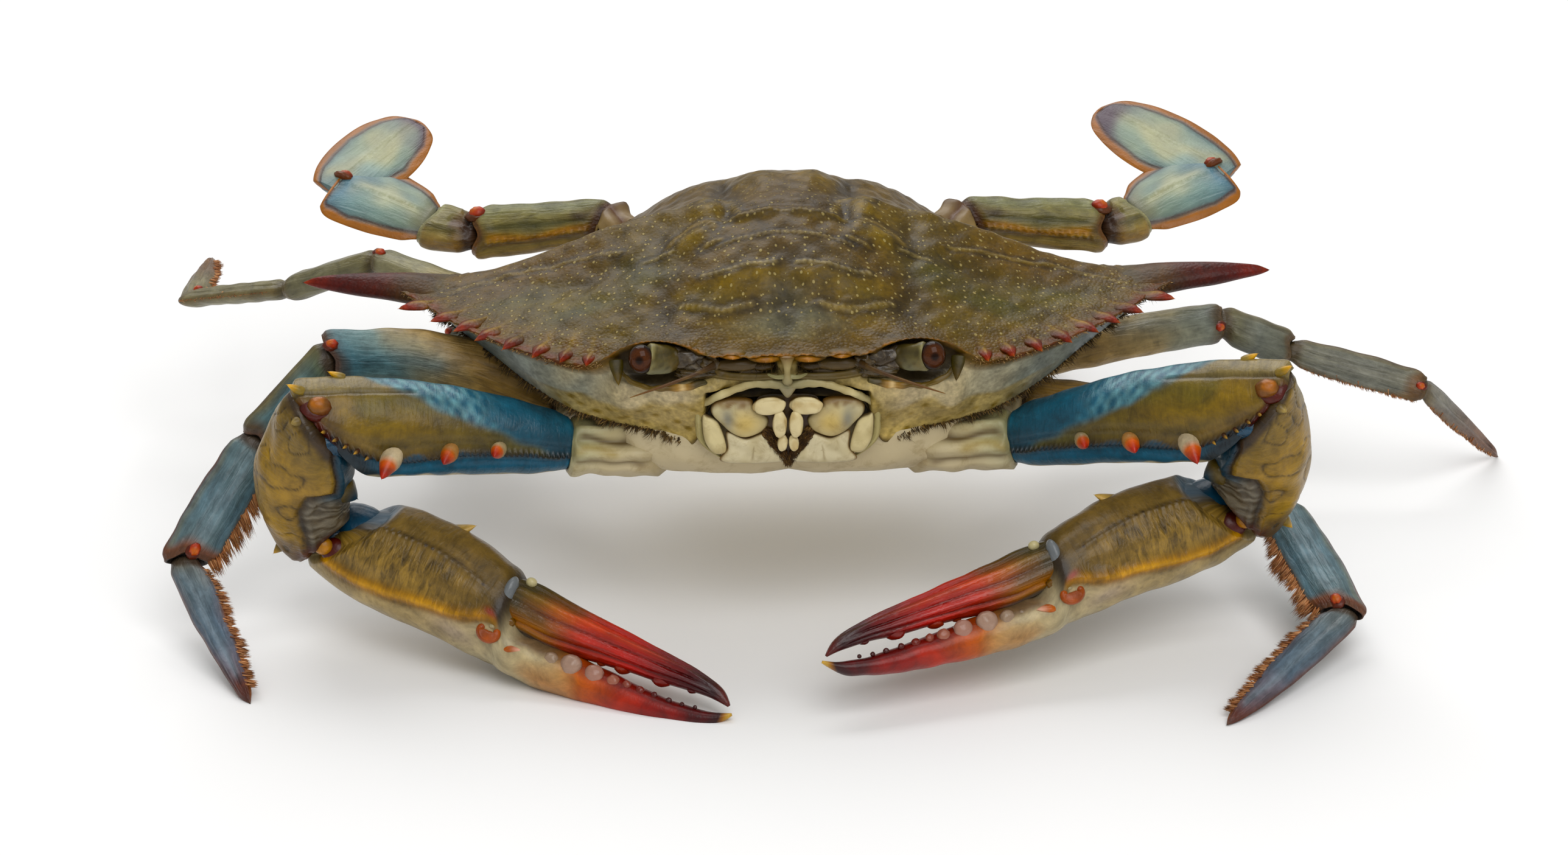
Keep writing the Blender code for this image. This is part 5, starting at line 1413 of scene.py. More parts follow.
PADDLE_JOINTS = {
    RIGHT: [(-23, 27, 38), (-31, 40.5, 44.8), (-54.5, 43.5, 41.6), (-63.2, 47, 42), (-80.2, 54.3, 45.8),
        (-65.2, 71.5, 52)],
    LEFT: [(23, 27, 38), (31.5, 40.5, 44.4), (55.8, 43.5, 41.4), (62.4, 46.5, 42.2), (78.2, 55.1, 45.9),
        (56.4, 72.6, 52.2)],
}
PADDLE_FACE = (0, -0.342, 0.94)
PADDLE_ROOT = [(0, 4, 4), (0.6, 4.4, 4.2), (1, 3.9, 3.6)]
PADDLE_MERUS = [
    (0, 2.7, 2.8), (0.12, 3.7, 3.4), (0.4, 4.1, 3.6), (0.8, 4.4, 3.5), (0.93, 4.1, 3.3), (1, 3.3, 2.9),
]
PADDLE_CARPUS = [(0, 3.4, 2.8), (0.3, 4.6, 3), (0.6, 5, 3), (1, 4.2, 2.2)]
PADDLE_PROPODUS = [
    (0, 4.2, 1.7, 0.3), (0.3, 7.2, 1.7, 1.2), (0.65, 8.2, 1.5, 1.5), (0.9, 6.8, 1.3, 1), (1, 5.2, 1.2, 0.8),
]
PADDLE_DACTYL = [
    (0, 4.6, 1.1, 0), (0.2, 7, 1.1, 0), (0.5, 8.3, 1, 0.3), (0.78, 6.6, 0.8, 0.7), (0.94, 3.8, 0.6, 0.7),
    (1, 1.6, 0.4, 0.5),
]


def paint_blade(skin, sections, stops, tip_code=None):
    """Colours of a paddle: a panel paler to its middle, with a dark inner line and an orange-brown rim."""
    widest = np.abs(skin.lie[:, 1]).max()
    half = np.interp(skin.place, *zip(*[row[:2] for row in sections]))
    from_rim = half - np.abs(skin.lie[:, 1])
    from_rim = np.minimum(from_rim, skin.to_end * 1.1 + 0.2)
    from_rim += 0.1 * waves(skin.lie, 4, skin.seed + 5)
    jitter = waves(skin.lie, 8, skin.seed)
    colours = gradient(stops, np.clip(skin.t + 0.05 * jitter, 0, 1))
    across = skin.lie[:, 1] / widest
    veins = np.sin(across * 9 + 1.2 * waves(skin.lie, 12, skin.seed + 2))
    colours = blend(
        colours,
        ("#486a70", 0.35 * (0.5 + 0.5 * veins) * window(skin.t, 0.1, 0.9, 0.1)),
        ("#b0ab84", 0.6 * bell(across + 0.2 * jitter, 0.12, 0.3) * window(skin.t, 0.08, 0.72, 0.12)),
        ("#3f5058", 0.55 * fall(from_rim, 1.4, 3.6)),
    )
    if tip_code:
        colours = blend(colours,
            (tip_code, 0.92 * smooth(skin.t + 0.06 * jitter - 0.2 * across, 0.74, 0.92)))
    colours = blend(
        colours,
        ("#43281c", 0.85 * bell(from_rim, 1.5, 0.4)),
        ("#9a6434", 0.97 * fall(from_rim, 0.8, 1.4)),
    )
    skin.paint = colours
    skin.marks = flat_marks(colours, 0, 0.6)
    groove = bell(from_rim, 1.4, 0.4) * skin.in_body
    rib = bell(across, 0.1, 0.05) * window(skin.t, 0.1, 0.9, 0.1) * skin.in_body
    skin.points += skin.outward * (0.2 * rib - 0.22 * groove)[:, None]
    return skin


def build_paddles():
    """The two swimming legs; their roots are given back, to go with the breast."""
    roots = []
    for side, joints in PADDLE_JOINTS.items():
        prefix = f"paddle_{SIDE_NAMES[side]}"
        top = (0, 1, 0.6)
        root = stretch(joints, 0, PADDLE_ROOT, PADDLE_FACE, 1, columns=64, rows=60, rough=0.35, seed=81)
        raise_ridges(root, [(40, 14, 0.3, 1, 0.7), (-40, 14, 0.3, 1, 0.7), (0, 10, 0.4, 1, -0.6),
            (80, 12, 0.4, 1, -0.6), (110, 12, 0.3, 1, 0.6)])
        colour_limb(root, [(0, "#6a5a3a"), (0.5, "#75603c"), (0.8, "#7c6848"), (1, "#4a3424")],
            [(80, 12, 0.3, 1, "#4c2c18", 0.9), (0, 10, 0.4, 1, "#4c3420", 0.8),
            (150, 34, 0.2, 1, "#a08858", 0.7)])
        roots += [root] + knob_on(root, 0, 1.5, "#a83c20", place=0.8)
        merus = stretch(joints, 1, PADDLE_MERUS, (0, -1, 0.4), 2, columns=84, rows=100, seed=82, neck=0.85,
            lip=1.05, notches=[(95, 28, 1.6), (0, 20, 0.8)])
        grain = 0.6 + 0.4 * beads_along(merus.lie[:, 0], 1.2)
        raise_ridges(merus, [(0, 20, 0.05, 0.95, 0.15), (132, 12, 0.05, 0.9, -0.35),
            (82, 7, 0.1, 0.9, -0.2)])
        ridge = round_bell(merus.degrees, 108 + 6 * merus.t, 6) * window(merus.t, 0.03, 0.9) * merus.in_body
        merus.points += merus.outward * (0.55 * grain * ridge)[:, None]
        colour_limb(merus, [(0, "#57432a"), (0.14, "#75673c"), (0.5, "#7c7449"), (0.85, "#807545"),
            (1, "#5a4529")], [(25, 34, 0.08, 0.95, "#6f7350", 0.75), (82, 9, 0.1, 0.92, "#3c3c1c", 0.8),
            (109, 10, 0.03, 0.93, "#a06c18", 0.95), (126, 6, 0.05, 0.9, "#54350f", 0.8),
            (168, 38, 0, 1, "#8f7648", 0.95), (70, 14, 0.1, 0.22, "#33200f", 0.8)], neck="#43281a",
            rim="#6a4628")
        make_shell(f"{prefix}_merus", [merus] + knob_on(merus, 35, 1.35, "#b03c1e", rim="#55301c"), "leg")
        carpus = stretch(joints, 2, PADDLE_CARPUS, PADDLE_FACE, 2, columns=72, rows=70, top=top, seed=83,
            neck=0.82, notches=[(70, 40, 1.2)])
        raise_ridges(carpus, [(120, 12, 0.1, 0.9, 0.3), (60, 14, 0.3, 0.95, 0.45), (95, 10, 0, 0.5, -0.5),
            (150, 12, 0, 0.6, 0.5)])
        colour_limb(carpus, [(0, "#4c3820"), (0.25, "#6a5832"), (0.4, "#797043"), (0.85, "#82794c"),
            (1, "#5c482e")], [(180, 34, 0, 1, "#8c6c3e", 0.8), (10, 30, 0.3, 0.9, "#7c8262", 0.6),
            (100, 26, 0.02, 0.42, "#4a2c18", 0.85), (125, 8, 0.2, 0.9, "#3f3a1e", 0.7)], neck="#33221a",
            rim="#8c8a66")
        make_shell(f"{prefix}_carpus", [carpus], "leg")
        blade = stretch(joints[:5], 3, PADDLE_PROPODUS, PADDLE_FACE, 2, columns=130, rows=130, top=top,
            edge=1.5, seed=84, rough=0.04, notches=[(180, 30, -0.6)])
        paint_blade(blade, PADDLE_PROPODUS, [(0, "#6c6c54"), (0.2, "#7c8a74"), (0.55, "#708a84"),
            (0.85, "#557684"), (1, "#4a5c5c")])
        hinge = knob_on(blade, 60, 1.2, "#a8441e", place=0.93, rim="#6a3a20")
        make_shell(f"{prefix}_propodus", [blade] + hinge, "paddle")
        ends = np.array(joints[4:6], float)
        tip = limb([ends[0], ends.mean(axis=0), ends[1]], PADDLE_DACTYL, PADDLE_FACE, 130, 140, top=top,
            edge=1.5, seed=85, rough=0.04)
        paint_blade(tip, PADDLE_DACTYL, [(0, "#5c7474"), (0.3, "#7c9088"), (0.6, "#8a967c"), (1, "#7c7468")],
            "#443040")
        make_shell(f"{prefix}_dactyl", [tip], "paddle")
    return roots


# Claw arms: root, the joints out to the wrist, and the finger tips
CLAW_JOINTS = {
    RIGHT: [(-18, -21.5, 29), (-36, -24, 30.8), (-73.2, -33, 37.6), (-76.1, -27, 15.4), (-9.5, -62, 1.3)],
    LEFT: [(18, -21.5, 29), (37, -24, 30.9), (73.3, -38, 40.8), (74.1, -29, 18.8), (4.9, -62, 10.4)],
}
CLAW_GAPE = {RIGHT: 0, LEFT: -0.5}
HAND_HEIGHT = {RIGHT: 1, LEFT: 0.93}
CLAW_BASE = [(0, 3.6, 3.6), (0.5, 4.7, 4.4), (1, 4.5, 4.2)]

CLAW_MERUS = [
    (0, 3.2, 3.4, 0), (0.12, 3.8, 3.9, 0.2), (0.27, 5.5, 5.1, 0.9), (0.45, 6.9, 6, 1.4),
    (0.8, 7.9, 6.2, 1.2), (1, 7.2, 5.8, 0.6),
]
CLAW_CARPUS = [
    (0, 6.6, 6.4, 0), (0.4, 8, 7.6, 0), (0.7, 6.5, 6.8, 1.1), (0.85, 4.8, 5.6, 2), (1, 3.4, 4.6, 2.2),
]
CARPUS_BULGE = {RIGHT: -4.2, LEFT: 2.4}
# Spines of the claw's merus: share of its length, angle, length, half width, root colour, tip colour
MERUS_SPINES = [
    (0.3, 106, 2.3, 1.3, "#9c8c6c", "#a82e1a"),
    (0.52, 114, 2.8, 1.5, "#a27a50", "#a82a18"),
    (0.79, 126, 3.8, 1.8, "#b8a88a", "#a82c18"),
]
# Dark line down the claw's carpus that parts its golden face from its grey inner side
CARPUS_EDGE = [(0, 128), (0.2, 140), (0.34, 140), (0.44, 108), (0.6, 96), (0.85, 92), (1, 86)]
HAND_LENGTH = 78.5
KNUCKLE = 35
HAND_FACE = (0, -0.9, 0.45)
ARM_FACE = (0, -1, 0.3)
# Lines on the claw's merus, as (share of its length, angle): its sharp lower ridge, and the lower edge of
# the blue on its upper side
MERUS_RIDGE = [(0, 112), (0.2, 110), (0.45, 113), (0.68, 123), (0.8, 127), (0.9, 113), (0.97, 96), (1, 84)]
MERUS_BLUE = [(0, 112), (0.06, 106), (0.25, 88), (0.44, 62), (0.58, 36), (0.7, 8), (0.8, -30), (1, -70)]
PALM_STATIONS = [
    (-6, 3.4, 4.4, 1.4), (0, 4.9, 5.6, 1.3), (8, 7.6, 7.2, 1.8), (17, 9, 7.8, 1.9), (27, 8.9, 7.4, 1.7),
    (33, 8.3, 6.8, 0.6), (35.4, 7.8, 6.5, 0.1), (36.8, 6.8, 6.2, -0.8), (38, 4.8, 5.4, -3.2),
    (42, 3.8, 4.5, -4.4), (46, 3.6, 3.9, -4.5), (50, 3.3, 3.4, -4.4), (57, 2.6, 2.8, -4.1),
    (68, 1.65, 1.9, -3.2), (75.5, 0.9, 1, -1.5), (78.5, 0.25, 0.3, -0.3),
]
FINGER_STATIONS = [
    (35.5, 4.2, 4.6, 2.9), (41, 4.3, 4.4, 2.8), (48, 4.1, 3.8, 2.35), (52, 3.6, 3.3, 2.45),
    (58.5, 2.8, 2.8, 2.5), (64, 2.3, 2.3, 2.5), (68.8, 1.7, 1.9, 2.5), (75, 0.95, 1, 1.8),
    (77.5, 0.35, 0.4, 1.1),
]
# Round molars on the front of the fixed finger: distance along the hand, height, forwards, half size
MOLARS = [
    (44.6, -3.4, 3.2, 0.8), (47.2, -3.1, 3.1, 1.2), (50.7, -2.7, 2.7, 1.75), (54.8, -2.6, 2.3, 1.55),
    (58.2, -2.5, 2, 1.05), (60.6, -2.2, 1.9, 0.7), (63, -2.2, 1.6, 0.75), (65.5, -2, 1.4, 0.55),
    (68.1, -1.9, 1.2, 0.5), (70.4, -1.7, 1, 0.4), (72.6, -1.3, 0.8, 0.35),
]
FINGER_TEETH = [(51.5, 0.5), (55, 0.6), (58, 1.1), (64, 1.2), (69, 0.6)]


def trace(skin, line):
    """Distance in millimetres over a limb's skin from a line of (share of its length, angle) points, where
    the angles run from -90 at the back, over the top, to 270."""
    length = skin.along.max() - skin.along.min()
    girth = np.radians(1) * np.linalg.norm(skin.points - skin.middle, axis=1)[skin.in_body].mean()
    spots = [(share * length, degrees * girth) for share, degrees in line]
    return line_distance(skin.t * length, front_turn(skin) * girth, spots)


def front_turn(skin):
    """Angles round a limb from -90 at the back, over the top and the front, to 270."""
    return (skin.degrees + 90) % 360 - 90


def below_line(skin, line, soft=5):
    """1 on the skin's part past a line of (share of the length, angle) points, 0 before it."""
    shares, angles = zip(*line)
    jitter = 4 * waves(skin.lie, 6, skin.seed + 60)
    return smooth(front_turn(skin) + jitter - np.interp(skin.t, shares, angles), -soft, soft)


def spine_on(skin, share, degrees, length, radius, code, tip_code, lean=0, middle_code=None):
    """A spine with its root sunk in a limb's skin, at a share of its length and an angle."""
    spot = skin_spot(skin, degrees, skin.t, share, 6, 0.01)
    along = limb_way(skin)
    way = unit(skin.outward[spot] + along * lean)
    root = skin.points[spot] - way * length * 0.5
    return tooth(root, skin.points[spot] + way * length, radius, code, tip_code, flat=0.9, way=along,
        middle_code=middle_code)


def build_arm(side, joints):
    """Base, merus and carpus of one claw."""
    prefix = f"claw_{SIDE_NAMES[side]}"
    base = stretch(joints, 0, CLAW_BASE, ARM_FACE, 0, columns=72, rows=70, rough=0.35, neck=1, seed=90)
    raise_ridges(base, [(45, 9, 0.1, 0.95, 0.6), (70, 7, 0.2, 0.95, -0.8), (95, 10, 0.1, 0.95, 0.7),
        (120, 7, 0.1, 0.95, -0.8), (20, 8, 0.2, 0.9, -0.5)])
    colour_limb(base, [(0, "#a0906c"), (0.3, "#c6b996"), (0.6, "#c2b48c"), (0.85, "#bcb894"),
        (1, "#8c8a68")], [(70, 8, 0.1, 0.95, "#4a3414", 0.9), (120, 7, 0.1, 0.9, "#5a4420", 0.85),
        (95, 9, 0.5, 0.95, "#9a8444", 0.7), (10, 40, 0.2, 1, "#6c6234", 0.7),
        (150, 30, 0, 1, "#cdbf9e", 0.7)])
    make_shell(f"{prefix}_base", [base], "under")
    merus = stretch(joints, 1, CLAW_MERUS, ARM_FACE, 9, columns=132, rows=190, seed=91, neck=0.94, lip=1.02,
        notches=[(75, 30, 1.6), (20, 24, 1)])
    away, reach = trace(merus, MERUS_RIDGE)
    beads = 0.55 + 0.45 * beads_along(reach, 0.95)
    turn = front_turn(merus)
    crease, _ = trace(merus, [(0.55, 34), (0.8, 40), (1.02, 42)])
    merus.points += merus.outward * (merus.in_body * (0.75 * beads * bell(away, 0, 0.45) - 0.35
        * bell(away, 1.5, 0.8) - 0.3 * bell(crease, 0, 0.3)))[:, None]
    raise_ridges(merus, [(5, 12, 0.3, 0.95, 0.3)])
    colour_limb(merus, [(0, "#4a4a24"), (0.3, "#54481f"), (0.6, "#685428"), (0.85, "#6e5a30"),
        (1, "#5a4528")], [(75, 26, 0.55, 0.92, "#7c6428", 0.7), (50, 16, 0.4, 0.75, "#56501f", 0.6),
        (100, 14, 0.3, 0.8, "#463c18", 0.6)], marks=(0.12, 0.35))
    jitter = waves(merus.lie, 5, 95)
    patchy = np.clip(0.45 + 0.5 * waves(merus.lie, 2.6, 96), 0, 1)
    blue = 1 - below_line(merus, MERUS_BLUE, 9)
    under = below_line(merus, MERUS_RIDGE, 2)
    paint = blend(
        merus.paint,
        ("#7f714a", 0.8 * fall(turn, 36, 44) * smooth(merus.t, 0.55, 0.7)),
        ("#245468", 0.95 * blue),
        ("#6f9a9e", 0.8 * blue * patchy * smooth(merus.t, 0.2, 0.45)),
        ("#15323e", 0.8 * blue * fall(merus.t, 0.08, 0.3) * smooth(turn, 40, 80)),
        ("#28566c", under * fall(turn + 8 * jitter, 154, 172)),
        ("#141c20", 0.9 * under * smooth(merus.t, 0.83, 0.93)),
        ("#bdb090", under * smooth(turn + 8 * jitter, 154, 172)),
        ("#5f6648", smooth(turn, 235, 262)),
        ("#1c120a", 0.9 * bell(away, 0, 0.8) * (0.6 + 0.4 * beads)),
        ("#3c3216", 0.6 * bell(crease, 0, 0.45)),
        ("#4a1a12", 0.9 * fall(merus.to_end, 0.6, 2) * window(turn, 52, 110, 8)),
    )
    merus.paint = blend(paint, (SOCKET_SHADE, merus.row >= merus.body_rows))
    parts = [merus]
    for spine in MERUS_SPINES:
        parts.append(spine_on(merus, *spine, 0.45, "#c85a2c"))
    parts.append(spine_on(merus, 0.8, 4, 1.8, 0.8, "#84703a", "#d8a43e", 2.6))
    parts.append(spine_on(merus, 0.97, 34, 1.9, 0.8, "#84703a", "#d8a43e", 2.2))
    for number in range(5):
        parts.append(spine_on(merus, 0.86 + 0.03 * number, 121 - 8 * number, 1, 0.35, "#3a2012", "#b08a4a",
            0.8))
    parts += knob_on(merus, 60, 1.75, "#74481a", 0.45, 0.92, "#4a160e")
    make_shell(f"{prefix}_merus", parts, "claw")
    sections = [(*row[:3], row[3] * side) for row in CLAW_CARPUS]
    carpus = stretch(joints, 2, sections, ARM_FACE, 8, (CARPUS_BULGE[side], 0, 0), columns=132, rows=130,
        top=(side, 0, 0), seed=92, neck=0.95, lip=1, rough=0.25, notches=[(150, 40, 1.6)])
    veins = bell(waves(carpus.lie, 7, 97), 0, 0.1)
    inner, _ = trace(carpus, CARPUS_EDGE)
    turn = front_turn(carpus)
    lumps = bell(carpus.t, 0.42, 0.1) + bell(carpus.t, 0.68, 0.09)
    lumps *= 0.5 * round_bell(carpus.degrees, 52, 16)
    carpus.points += carpus.outward * (carpus.in_body * (lumps - 0.18 * veins - 0.4 * bell(inner, 0, 0.5)
        + 0.3 * bell(inner, 1.2, 0.6)))[:, None]
    colour_limb(carpus, [(0, "#544220"), (0.1, "#7b6432"), (0.4, "#8a6e39"), (0.75, "#836834"),
        (1, "#523a1c")], [(52, 20, 0.28, 0.8, "#97772c", 0.8), (0, 16, 0, 1, "#7c6e3c", 0.6),
        (240, 60, 0, 1, "#7a6e46", 0.6)], neck="#33261a", marks=(0.1, 0.4))
    grey = below_line(carpus, CARPUS_EDGE, 4) * fall(turn, 185, 205)
    ripples = 0.5 + 0.5 * np.sin(carpus.lie[:, 0] * 3.2 + 2.5 * waves(carpus.lie, 4, 98))
    paint = blend(
        carpus.paint,
        ("#3c2d10", 0.85 * veins * fall(turn, 100, 120)),
        ("#4a4030", grey),
        ("#857e6e", 0.75 * grey * ripples * window(carpus.t, 0.36, 0.92, 0.22)),
        ("#123646", grey * window(turn, 120, 190, 10) * fall(carpus.t, 0.3, 0.56)),
        ("#20150c", 0.85 * bell(inner, 0, 0.5)),
        ("#431b10", 0.8 * smooth(carpus.t, 0.88, 0.95) * window(turn, 60, 130, 12)),
    )
    carpus.paint = blend(paint, (SOCKET_SHADE, carpus.row >= carpus.body_rows))
    parts = [carpus, spine_on(carpus, 0.04, 60, 1, 0.8, "#6c5a34", "#a08a54"),
        spine_on(carpus, 0.88, 16, 1.6, 0.9, "#7c6834", "#c9a050", 0.8),
        spine_on(carpus, 0.36, 165, 2, 2.2, "#54461f", "#16303e", 0.2)]
    make_shell(f"{prefix}_carpus", parts, "claw")
    for index, half, offset in ((2, (6.2, 5.8, 4.2), (0, 0, 0)),
            (3, (4.4, 4.6, 4.2), (-1.2 * side, 0, 0.6))):
        middle = np.array(joints[index]) + np.array(offset)
        skin = blob(middle, half, "#123f58", 40, 28, rough=0.06, seed=5)
        make_piece(f"{prefix}_membrane_{index}", [skin], "membrane")


def hand_limb(wrist, tip, stations, gape, height):
    """Path and sections of a palm or finger along the line from the wrist to the finger tips."""
    wrist, tip = np.array(wrist), np.array(tip)
    along = unit(tip - wrist)
    scale = np.linalg.norm(tip - wrist) / HAND_LENGTH
    first, last = stations[0][0], stations[-1][0]
    path = [wrist + along * first * scale, wrist + along * last * scale]
    sections = []
    for distance, half_height, half_thick, lift in stations:
        lift += gape * max(0, distance - KNUCKLE) / (HAND_LENGTH - KNUCKLE)
        sections.append(((distance - first) / (last - first), half_height * height, half_thick, lift))
    return path, sections


def hand_frame(side):
    """Wrist, the ways along, across and through the hand, and its scale."""
    wrist, tip = (np.array(CLAW_JOINTS[side][index], float) for index in (3, 4))
    along = unit(tip - wrist)
    broad = unit(np.cross(along, HAND_FACE))
    broad = broad if broad[2] > 0 else -broad
    thin = unit(np.cross(broad, along))
    thin = thin if thin @ np.array(HAND_FACE) > 0 else -thin
    return wrist, along, broad, thin, np.linalg.norm(tip - wrist) / HAND_LENGTH


def hand_spot(side, distance, lift, forwards):
    """A point of the hand from its distance past the wrist, its height and how far it is to the front."""
    wrist, along, broad, thin, scale = hand_frame(side)
    return wrist + along * distance * scale + broad * lift * HAND_HEIGHT[side] + thin * forwards


def hand_blob(side, spot, half, code, rough=0, seed=3):
    """A rounded lump on the hand, its half sizes along, across and through it."""
    _, along, broad, thin, _ = hand_frame(side)
    return blob(hand_spot(side, *spot), half, code, 24, 16, turn=np.stack([along, broad, thin], -1),
        rough=rough, seed=seed)


def along_hand(skin, stations):
    """How far past the wrist each point of the palm or finger is, for a hand of the usual length."""
    first, last = stations[0][0], stations[-1][0]
    return skin.place * (last - first) + first


def hand_teeth(skin, stations, teeth, degrees, codes):
    """Blunt teeth along the biting edge of a finger, alike in kind but not in size."""
    first, last = stations[0][0], stations[-1][0]
    parts = []
    for number, (distance, size) in enumerate(teeth):
        spot = skin_spot(skin, degrees, skin.place, (distance - first) / (last - first), 6, 0.01)
        middle = skin.points[spot] - skin.outward[spot] * size * 0.5
        part = blob(middle, (size * 1.5, size, size), "#d0a890", 20, 14, rough=0.05, seed=number)
        part.paint = gradient(codes, np.full(len(part.points), (distance - KNUCKLE) / 43))
        parts.append(part)
    return parts


def build_palm(side, joints):
    """The palm with its fixed finger and its round molars."""
    prefix = f"claw_{SIDE_NAMES[side]}"
    path, sections = hand_limb(joints[3], joints[4], PALM_STATIONS, 0, HAND_HEIGHT[side])
    palm = limb(path, sections, HAND_FACE, 140, 300, cuts=(joint_plane(joints, 3), None), seed=93, neck=0.8,
        rough=0.12)
    hand = along_hand(palm, PALM_STATIONS)
    turn = front_turn(palm)
    in_palm = fall(hand, 34, 38)
    crest = np.interp(hand, [2, 9, 15, 21, 29, 33, 36], [118, 125, 128, 125, 117, 106, 92])
    upper_crest = np.interp(hand, [4, 8, 16, 25, 33], [72, 69, 64, 64, 66])
    grain = 0.5 + 0.5 * beads_along(hand, 1.1)
    ridges = (0.5 * bell(turn, crest, 6) * window(hand, 1, 36, 2) * (0.8 + 0.2 * grain) + 0.45
        * bell(turn, upper_crest, 4) * window(hand, 4, 33, 2) * (0.6 + 0.4 * grain) - 0.3
        * bell(turn, crest - 16, 9) * window(hand, 3, 34, 3) - 0.25 * bell(turn, 180, 16))
    palm.points += palm.outward * (ridges * in_palm * palm.in_body)[:, None]
    jitter = waves(palm.lie, 8, 63)
    upper = gradient([(-6, "#54461e"), (4, "#6e5a32"), (18, "#786238"), (30, "#725c34"), (37, "#503f1e"),
        (78, "#4a3a24")], hand)
    lower = gradient([(-6, "#877858"), (10, "#a38f66"), (30, "#ae9a70"), (38, "#b0a484"), (43, "#b3a27e"),
        (46, "#b48c60"), (49, "#b0603c"), (56, "#a83220"), (64, "#8a1e18"), (68, "#4a1012"), (75, "#2a0a0a"),
        (76.4, "#8a5a2c"), (78.5, "#d0a95c")], hand + 1.5 * jitter)
    below = smooth(turn + 3 * jitter, crest + 4, crest + 14) * fall(turn, 228, 255)
    below = np.where(hand > 36, np.maximum(below, smooth(hand, 36.5, 38.5)), below)
    paint = upper * (1 - below)[:, None] + lower * below[:, None]
    middle_zone = window(turn, 70, 116, 8) * window(hand, 4, 30, 4)
    neck = fall(palm.from_start + 0.03 * turn, 1.2, 3.2)
    bite = fall(turn, 56, 78) * fall(-turn, 40, 60)
    paint = blend(
        paint,
        ("#8a703e", middle_zone * (0.55 + 0.35 * jitter)),
        ("#2c2010", (0.5 + 0.2 * grain) * bell(turn, upper_crest - 2, 4) * window(hand, 4, 33, 2)),
        ("#a8762c", 0.9 * bell(turn, crest, 7) * window(hand, 0, 36.5, 1.5)),
        ("#c99c50", 0.65 * bell(turn, crest - 1, 3) * window(hand, 2, 32, 3)),
        ("#5c5030", 0.5 * bell(turn, 262, 40) * in_palm),
        ("#6e6038", 0.6 * bell(turn, 178, 14) * window(hand, 6, 40, 4)),
        ("#15465e", 0.9 * window(turn, -80, 60, 20) * neck * (palm.row < palm.body_rows / 2)),
        ("#1c120a", 0.85 * window(hand, 35.6, 37.6, 0.8) * fall(turn, 84, 92)),
        ("#861c12", 0.9 * bell(hand, 35.6, 0.8) * bell(turn, 89, 4)),
        ("#8a7f8a", 0.35 * bell(hand, 31, 3.5) * bell(turn, 135, 14)),
        ("#54341c", 0.75 * bite * window(hand, 39.5, 47, 1.5)),
    )
    palm.paint = blend(paint, ("#5a1414", 0.75 * bite * window(hand, 50, 73, 3)))
    marks = flat_marks(paint)
    marks[:, 1] = (0.1 + 0.9 * middle_zone + 0.35 * (1 - below)) * in_palm
    marks[:, 0] = (0.8 * bell(turn, upper_crest, 5) + 0.2 * below) * in_palm
    palm.marks = marks
    parts = [palm]
    parts.append(tooth(hand_spot(side, 19.6, 8.2, 0.5), hand_spot(side, 24.6, 12, 0.5), 2, "#6a5724",
        "#c9a868"))
    parts.append(tooth(hand_spot(side, 39.6, -4, 4), hand_spot(side, 42.4, -3.5, 4.4), 1, "#a8603c",
        "#d0a08a"))
    parts.append(hand_blob(side, (5.5, 4.4, -0.6), (6.5, 4.1, 4.7), "#124058", 0.04, 8))
    parts.append(hand_blob(side, (4.6, -0.4, 5), (2.3, 2.1, 1.2), "#4a160e"))
    parts.append(hand_blob(side, (3, -0.3, 6.3), (1.7, 1.5, 1.4), "#a4702c"))
    parts.append(hand_blob(side, (2, 0.1, 6.5), (1.2, 1.2, 1.3), "#bfa468"))
    ring = [hand_spot(side, 36.3 + 1.45 * np.cos(angle), -2.6 + 1 * np.sin(angle), 5.9)
        for angle in np.radians(np.linspace(150, 390, 9))]
    parts.append(rod(ring, [(0, 0.5), (0.3, 0.95), (0.7, 0.95), (1, 0.5)], "#9a4a20", 14, 40))
    parts.append(hand_blob(side, (36.3, -2.6, 5), (1.5, 1.1, 1), "#5a1a10"))
    parts.append(hand_blob(side, (36.5, -1.8, 5.8), (0.6, 0.45, 0.6), "#a09474"))
    make_shell(f"{prefix}_palm", parts, "claw")
    codes = [(44, "#74604a"), (48, "#a08a76"), (53, "#a8887a"), (58, "#a06c5c"), (62, "#7a3028"),
        (66, "#4a1614"), (73, "#3a1210")]
    molars = []
    for number, (distance, lift, forwards, size) in enumerate(MOLARS):
        molar = hand_blob(side, (distance, lift, forwards), (size * 1.05, size, size * 0.8), "#b09880", 0.05,
            number)
        molar.paint = gradient(codes, np.full(len(molar.points), distance))
        molars.append(molar)
    make_piece(f"{prefix}_molars", molars, "finger")


